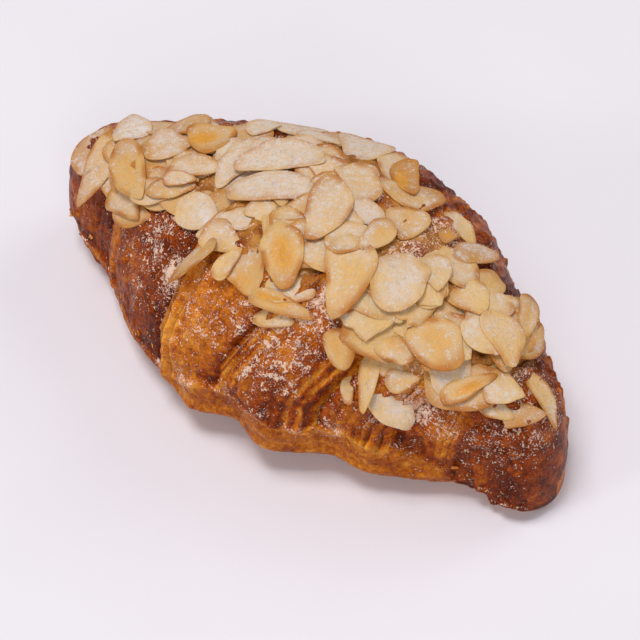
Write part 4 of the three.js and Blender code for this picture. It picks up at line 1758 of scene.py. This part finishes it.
    def add_plate(
        self,
        flake: Flake,
        edge: np.ndarray,
        bend: np.ndarray,
        middle: np.ndarray,
        axes: tuple[np.ndarray, ...],
        pace: float,
    ) -> None:
        """Adds a flake's vertices and tints.

        Args:
            flake: The flake.
            edge: Its outline.
            bend: Its bend.
            middle: Its middle.
            axes: Directions of its length, its width and its top.
            pace: Millimetres for each degree around.
        """
        form, look, seed = self.form, self.toasting, flake.seed
        flat, shares, face, bulk = self.net.lay_out(edge)
        toast, heart, rim, flank, sugar = flake.look.value
        p, q = flat.T
        long, wide = p / flake.length, q / flake.width
        shifts = (Draw.HEART_ALONG, Draw.HEART_ACROSS)
        aside, askew = (form.heart_aside * (draw(seed + shift) - 0.5) for shift in shifts)
        near = np.exp(-((long - aside) ** 2) / form.heart_long - (wide - askew) ** 2 / form.heart_wide)
        height = self.warp(flake, flat, bend) + bulk * self.thick / 2
        height = height - form.heart_dip * near * heart * (face > 0)
        points = middle + p[:, None] * axes[0] + q[:, None] * axes[1] + height[:, None] * axes[2]
        patchy = smoothstep(*look.rim_patch_range, 0.5 + look.rim_patches.at(points))
        rimmed = rim * smoothstep(*look.rim_range, shares) * (look.rim_least + look.rim_more * patchy)
        hearted = heart * smoothstep(*look.heart_range, near)
        turn = ONE_TURN * draw(seed + Draw.SIDE)
        sidelong = 2 * (long * math.cos(turn) + wide * math.sin(turn))
        toasted = toast + look.uneven * (draw(seed + Draw.TOAST) - 0.5)
        toasted = toasted + flank * smoothstep(*look.side_range, sidelong)
        # Painted shade: more toast towards the left end
        toasted = toasted + look.left_painted_shade * smoothstep(*look.far_range, -points[:, 0])
        away = (points - np.array(look.sieved_middle)) / np.array(look.sieved_reach)
        sieved = look.sieved_most * hump(np.linalg.norm(away, axis=-1), 1.0) - look.sieved_least
        drifts = look.drifts.at(points) + look.sieved_more * sieved
        most = np.interp(sugar, look.sugar_steps, look.sugar_most)
        lit = np.clip(look.film + look.film_share * sugar + look.drift_share * drifts, 0, most)
        bare_rim = (look.rim_bare - look.rim_sugared * sugar) * smoothstep(*look.rim_bare_range, shares)
        lit = lit * (1 - bare_rim) * (1 - look.heart_bare * hearted)
        lit = np.where(face > 0, lit, look.under_sugar * sugar)
        x, around = self.spread(flake, flat, pace)
        ground = self.roll.at(self.roll.points, x, around)
        risen = ((points - ground) * self.roll.at(self.roll.normals, x, around)).sum(-1)
        tints = np.clip(np.stack([rimmed, hearted, toasted, lit], -1), 0, 1)
        shifted = np.full(len(p), look.fibre_shift * seed)
        fibres = np.stack([p / look.fibre_stretch, q, shifted, 0 * p], -1) * MM
        self.plates.append(Plate(points, tints, fibres, x, around, risen))

    def build(self, material: bpy.types.Material) -> bpy.types.Object:
        """Lays every flake and makes them one mesh.

        Args:
            material: The almonds' finish.

        Returns:
            The flakes.
        """
        seeded = zip(PLACED_FLAKES, count(*self.placed_seeds))
        placed = [replace(flake, seed=seed) for flake, seed in seeded]
        ordered = sorted(placed, key=lambda flake: flake.layer)
        for flake in [*self.under_flakes(), *self.filling_flakes(), *ordered]:
            self.lay(flake)
        shift = (np.arange(len(self.plates)) * len(self.plates[0].points))[:, None, None]
        groups = [(faces[None] + shift).reshape(-1, faces.shape[1]) for faces in self.net.faces()]
        points = np.concatenate([plate.points for plate in self.plates])
        tints = np.concatenate([plate.tints for plate in self.plates])
        fibres = np.concatenate([plate.fibres for plate in self.plates])
        tinted = {"almond": tints, "fibres": fibres}
        return make_piece("almond_flakes", points, groups, material, tinted)

    def tops(self) -> tuple[np.ndarray, np.ndarray]:
        """Lists the flakes' top faces as nets from the middle to the rim.

        Returns:
            Points by flake, ring and place round the outline, and how much sugar lies on each.
        """
        shape = (len(self.net.rings), self.net.segments)
        shown = slice(1, 1 + math.prod(shape))
        points, sugar = [], []
        for plate in self.plates:
            open_to_sky = self.roll.at(self.pile, plate.x, plate.around) < plate.risen + self.sky_gap
            lit = plate.tints[:, 3] * open_to_sky
            middles = np.repeat(plate.points[:1, None], self.net.segments, 1)
            points.append(np.concatenate([middles, plate.points[shown].reshape(*shape, 3)]))
            centre = np.full((1, self.net.segments), lit[0])
            sugar.append(np.concatenate([centre, lit[shown].reshape(shape)]))
        return np.stack(points), np.stack(sugar)


@dataclass(frozen=True)
class Leaf:
    """One peeled leaf of crust: its root and tip, the way it faces, its width, curl and browning."""

    root: Triple
    tip: Triple
    facing: Triple
    width: float
    curl: float
    browning: float


@dataclass
class PeeledCrust:
    """Thin leaves of crust that came loose: two large ones at the left tip, small ones along the foot."""

    roll: Roll
    thick: float = 0.4
    edge_thick: float = 0.25
    taper: float = 0.7
    hollow: float = 0.1
    hollow_root: float = 0.3
    edge_power: int = 6
    ragged: Pattern = Pattern(1, 0.4, 9)
    ragged_long: float = 6.0
    ragged_wide: float = 0.8
    ragged_step: int = 7
    feel_mm: float = 2.0
    feel_turn: float = 3.0
    steps: int = 9
    across: int = 5
    sugar: float = 0.15
    striping: float = 0.5
    large: tuple[Leaf, ...] = (
        Leaf((-56.0, -3.0, 16.5), (-71.0, -13.2, 12.5), (-0.1, -0.5, 0.85), 8.0, -0.6, 0.15),
        Leaf((-50.0, -18.0, 7.0), (-67.0, -12.4, 7.5), (-0.35, -0.75, 0.55), 6.0, 0.8, 0.75),
    )
    small_count: int = 26
    small_seeds: tuple[int, int] = (9000, 13)
    small_span: float = 130.0
    small_front: float = 176.0
    small_back: float = 4.0
    small_spread: float = 8.0
    small_turn: float = 40.0
    small_length: Pair = (1.2, 3.2)
    small_lift: Pair = (0.03, 0.13)
    small_sunk: float = 0.3
    small_aspect: float = 0.6
    small_curl: float = 0.5
    small_browning: float = 0.5

    def small_leaves(self) -> list[Leaf]:
        """Strews the small leaves along the foot's torn edge.

        Returns:
            The leaves, every third one on the back.
        """
        leaves = []
        for number, seed in zip(range(self.small_count), count(*self.small_seeds)):
            spot, x, turn, length, lift, curl, brown = (draw(seed + d) for d in (0, 2, 3, 4, 5, 6, 7))
            spread = self.small_spread * spot
            around = self.small_front + spread if number % 3 else self.small_back - spread
            across = self.small_span * (x - 0.5)
            place, along, outward, _ = self.roll.lie(across, around, self.feel_mm, self.feel_turn)
            angle = math.radians(self.small_turn * (turn - 0.5))
            flat = along * math.cos(angle) + np.cross(along, outward) * math.sin(angle)
            long = float(np.interp(length, (0, 1), self.small_length))
            tip = place + long * (flat + np.interp(lift, (0, 1), self.small_lift) * outward)
            root = place - self.small_sunk * outward
            bent = self.small_curl * (curl - 0.5)
            width = self.small_aspect * long
            browning = self.small_browning * brown
            leaves.append(Leaf(tuple(root), tuple(tip), tuple(outward), width, bent, browning))
        return leaves

    def shape(self, leaf: Leaf, seed: int) -> np.ndarray:
        """Works out a leaf's vertices: its top net, then its under net.

        Args:
            leaf: The leaf.
            seed: Number that picks its ragged edge.

        Returns:
            Points in millimetres.
        """
        root, reach = np.array(leaf.root), np.array(leaf.tip) - np.array(leaf.root)
        crosswise = unit(np.cross(np.array(leaf.facing), reach))
        upward = unit(np.cross(reach, crosswise))
        t = np.linspace(0, 1, self.steps)[:, None]
        s = np.linspace(-1, 1, self.across)[None]
        places = [t * self.ragged_long, s * self.ragged_wide, seed + 0 * t * s]
        places = np.stack(np.broadcast_arrays(*places), -1)
        half = leaf.width / 2 * (1 - self.taper * t**3) * (1 + self.ragged.at(places))
        rise = leaf.curl * t**2 + self.hollow * leaf.width * (s * s - 0.5) * (self.hollow_root + t)
        top = root + t[..., None] * reach + (s * half)[..., None] * crosswise + rise[..., None] * upward
        inside = 1 - np.maximum(np.abs(s), t) ** self.edge_power
        thick = self.thick * (self.edge_thick + (1 - self.edge_thick) * inside)
        low = top - thick[..., None] * upward
        return np.concatenate([top.reshape(-1, 3), low.reshape(-1, 3)])

    def leaf_faces(self) -> np.ndarray:
        """Numbers one leaf's faces: top, underside and the rim between them.

        Returns:
            Four-sided faces.
        """
        top = np.arange(self.steps * self.across).reshape(self.steps, self.across)
        upper = np.stack([top[:-1, :-1], top[1:, :-1], top[1:, 1:], top[:-1, 1:]], -1).reshape(-1, 4)
        rim = np.concatenate([top[0, :-1], top[:-1, -1], top[-1, :0:-1], top[:0:-1, 0]])
        after = np.roll(rim, -1)
        wall = np.stack([rim, after, after + top.size, rim + top.size], -1)
        return np.concatenate([upper, upper[:, ::-1] + top.size, wall])

    def build(self, material: bpy.types.Material) -> bpy.types.Object:
        """Makes every leaf one mesh.

        Args:
            material: The crust's finish.

        Returns:
            The peeled leaves.
        """
        leaves = [*self.large, *self.small_leaves()]
        shapes = [self.shape(leaf, self.ragged_step * i) for i, leaf in enumerate(leaves)]
        size = len(shapes[0])
        faces = (self.leaf_faces()[None] + (np.arange(len(leaves)) * size)[:, None, None]).reshape(-1, 4)
        tint = np.array([[leaf.browning, self.sugar, 0.0, self.striping] for leaf in leaves])
        points = np.concatenate(shapes)
        tints = {"crust": np.repeat(tint, size, axis=0)}
        return make_piece("peeled_crust", points, [faces], material, tints)


@dataclass
class SugarDusting:
    """Icing sugar left in grains and small clumps on crust and almonds."""

    roll: Roll
    almonds: AlmondCrust
    crust_clumps: int = 2800
    almond_clumps: int = 3600
    clump_grains: int = 3
    clump_spread: float = 0.45
    # Real grains are finer than these, which stand for the specks that they cake into
    crust_radius: Pair = (0.05, 0.16)
    almond_radius: Pair = (0.06, 0.17)
    radius_power: float = 2.5
    uneven: Pair = (0.7, 1.3)
    squash: float = 0.6
    thick_power: float = 1.5
    free_pile: float = 0.3
    crust_drifts: Pattern = Pattern(2.2, 1.0, 91, 2)
    drift_range: Pair = (-0.2, 0.5)
    seed: int = 12

    def crust_places(self, chance: np.random.Generator) -> tuple[np.ndarray, np.ndarray]:
        """Picks where clumps lie on the bare skin: more where the sugar is thicker.

        Args:
            chance: The draws.

        Returns:
            Points in millimetres, and their outward directions.
        """
        points, normals = self.roll.points[1:-1], self.roll.normals[1:-1]
        free = self.almonds.pile[1:-1] < self.free_pile
        weight = self.roll.tints[1:-1, :, 1] ** self.thick_power * free
        weight = weight * np.linalg.norm(np.gradient(points, axis=1), axis=-1)
        weight = weight * smoothstep(*self.drift_range, self.crust_drifts.at(points))
        picked = chance.choice(weight.size, self.crust_clumps, p=(weight / weight.sum()).ravel())
        return points.reshape(-1, 3)[picked], normals.reshape(-1, 3)[picked]

    def almond_places(self, chance: np.random.Generator) -> tuple[np.ndarray, np.ndarray]:
        """Picks where clumps lie on the flakes' open faces.

        Args:
            chance: The draws.

        Returns:
            Points in millimetres, and their outward directions.
        """
        nets, sugar = self.almonds.tops()
        shares = np.array([0.0, *self.almonds.net.rings])
        area = (shares[1:] ** 2 - shares[:-1] ** 2)[None, :, None]
        size = np.linalg.norm(nets[:, -1, 0] - nets[:, 0, 0], axis=-1)[:, None, None] ** 2
        weight = sugar[:, 1:] * area * size
        picked = chance.choice(weight.size, self.almond_clumps, p=(weight / weight.sum()).ravel())
        flake, ring, place = np.unravel_index(picked, weight.shape)
        share = chance.random((self.almond_clumps, 1))
        points = nets[flake, ring, place] * (1 - share) + nets[flake, ring + 1, place] * share
        return points, np.tile([0.0, 0.0, 1.0], (self.almond_clumps, 1))

    def build(self, material: bpy.types.Material) -> bpy.types.Object:
        """Makes the grains, squashed eight-sided lumps in loose clumps, one mesh.

        Args:
            material: The sugar's finish.

        Returns:
            The sugar grains.
        """
        chance = np.random.default_rng(self.seed)
        on_crust = self.crust_places(chance)
        on_almonds = self.almond_places(chance)
        kinds = [(on_crust, self.crust_radius), (on_almonds, self.almond_radius)]
        radius = []
        for (spots, _), (low, high) in kinds:
            share = chance.random(len(spots) * self.clump_grains) ** self.radius_power
            radius.append(low + (high - low) * share)
        radius = np.concatenate(radius)
        grains = len(radius)
        clumps, facing = (np.concatenate([found[side] for found, _ in kinds]) for side in (0, 1))
        outward = np.repeat(facing, self.clump_grains, axis=0)
        spread = chance.normal(0, self.clump_spread, (grains, 3))
        spread = spread - (spread * outward).sum(-1, keepdims=True) * outward
        places = np.repeat(clumps, self.clump_grains, axis=0) + spread
        sides = unit(np.cross(outward, chance.normal(size=(grains, 3))))
        others = np.cross(outward, sides)
        scale = radius[:, None] * chance.uniform(*self.uneven, (grains, 3)) * np.array([1, 1, self.squash])
        corners = np.array([[1, 0, 0], [0, 1, 0], [-1, 0, 0], [0, -1, 0], [0, 0, 1], [0, 0, -1]], float)
        local = corners[None] * scale[:, None]
        points = places[:, None] + local[..., :1] * sides[:, None] + local[..., 1:2] * others[:, None]
        points = points + local[..., 2:] * outward[:, None]
        ring = np.arange(4)
        after = (ring + 1) % 4
        upper = np.stack([ring, after, np.full(4, 4)], -1)
        lower = np.stack([after, ring, np.full(4, 5)], -1)
        faces = np.concatenate([upper, lower])[None] + (len(corners) * np.arange(grains))[:, None, None]
        points, faces = points.reshape(-1, 3), faces.reshape(-1, 3)
        return make_piece("sugar_grains", points, [faces], material)


@dataclass(frozen=True)
class Lamp:
    """A soft square light: its name, its place and side in metres, and its power in watts."""

    name: str
    place: Triple
    side: float
    power: float


@dataclass
class Studio:
    """The table top, the soft light and the camera at the photograph's viewing angle."""

    azimuth: float = 37.0
    elevation: float = 50.0
    distance: float = 600.0
    target: Triple = (0.0, 0.0, 20.0)
    pixels_per_mm: float = 4.065
    target_pixel: Pair = (320.5, 289.5)
    photo_side: int = 640
    sensor: float = 36.0
    clip: Pair = (0.01, 20.0)
    floor_side: float = 6000.0
    lamps: tuple[Lamp, ...] = (
        Lamp("key_light", (-0.3, -0.3, 2.0), 0.7, 24.0),
        Lamp("front_light", (1.2, -1.5, 1.5), 1.2, 14.0),
        Lamp("window_light", (-0.8, -1.65, 0.9), 0.35, 6.0),
        Lamp("back_light", (0.7, 1.6, 1.6), 1.2, 10.0),
    )
    room_light: tuple[float, float, float, float] = (1.0, 0.985, 0.99, 1.0)
    room_strength: float = 0.28

    def axes(self) -> tuple[Vector, Vector, Vector]:
        """Gives the camera's backward, rightward and upward directions.

        Returns:
            Three unit vectors.
        """
        a, e = math.radians(self.azimuth), math.radians(self.elevation)
        back = Vector((math.sin(a) * math.cos(e), -math.cos(a) * math.cos(e), math.sin(e)))
        right = Vector((math.cos(a), math.sin(a), 0))
        return back, right, back.cross(right)

    def add_camera(self) -> None:
        """Places the camera so that the target falls on its pixel."""
        back, right, up = self.axes()
        half = self.photo_side / 2
        aside = (half - self.target_pixel[0]) / self.pixels_per_mm
        above = (self.target_pixel[1] - half) / self.pixels_per_mm
        aim = Vector(self.target) + right * aside + up * above
        data = bpy.data.cameras.new("camera")
        data.sensor_width = self.sensor
        data.lens = self.pixels_per_mm * self.distance * self.sensor / self.photo_side
        data.clip_start, data.clip_end = self.clip
        camera = bpy.data.objects.new("camera", data)
        camera.location = (Vector(self.target) + back * self.distance) * MM
        camera.rotation_euler = (aim * MM - camera.location).to_track_quat("-Z", "Y").to_euler()
        bpy.context.scene.collection.objects.link(camera)
        bpy.context.scene.camera = camera

    def add_lamp(self, lamp: Lamp) -> None:
        """Adds a soft square light that faces the croissant.

        Args:
            lamp: The light.
        """
        data = bpy.data.lights.new(lamp.name, "AREA")
        data.size = lamp.side
        data.energy = lamp.power
        light = bpy.data.objects.new(lamp.name, data)
        light.location = lamp.place
        light.rotation_euler = (-Vector(lamp.place)).to_track_quat("-Z", "Y").to_euler()
        bpy.context.scene.collection.objects.link(light)

    def add_floor(self, material: bpy.types.Material) -> None:
        """Lays the table top under the croissant.

        Args:
            material: The table top's finish.
        """
        half = self.floor_side / 2 * MM
        mesh = bpy.data.meshes.new("table_top")
        corners = [(-half, -half, 0), (half, -half, 0), (half, half, 0), (-half, half, 0)]
        mesh.from_pydata(corners, [], [(0, 1, 2, 3)])
        mesh.materials.append(material)
        floor = bpy.data.objects.new("table_top", mesh)
        bpy.context.scene.collection.objects.link(floor)

    def build(self) -> None:
        """Sets up the whole studio."""
        self.add_camera()
        self.add_floor(TABLE_TOP.material())
        for lamp in self.lamps:
            self.add_lamp(lamp)
        world = bpy.data.worlds.new("soft_room")
        world.use_nodes = True
        room = world.node_tree.nodes["Background"].inputs
        room["Color"].default_value = self.room_light
        room["Strength"].default_value = self.room_strength
        bpy.context.scene.world = world
        bpy.context.scene.view_settings.view_transform = "Standard"


def main() -> None:
    """Builds the studio and the croissant's pieces in order."""
    logging.basicConfig(level=logging.INFO)
    Studio().build()
    crust = BakedCrust().material()
    roll = Roll()
    roll.build(crust)
    almonds = AlmondCrust(roll)
    almonds.build(SlicedAlmond().material())
    PeeledCrust(roll).build(crust)
    SugarDusting(roll, almonds).build(ICING_SUGAR.material())


if __name__ == "__main__":
    main()
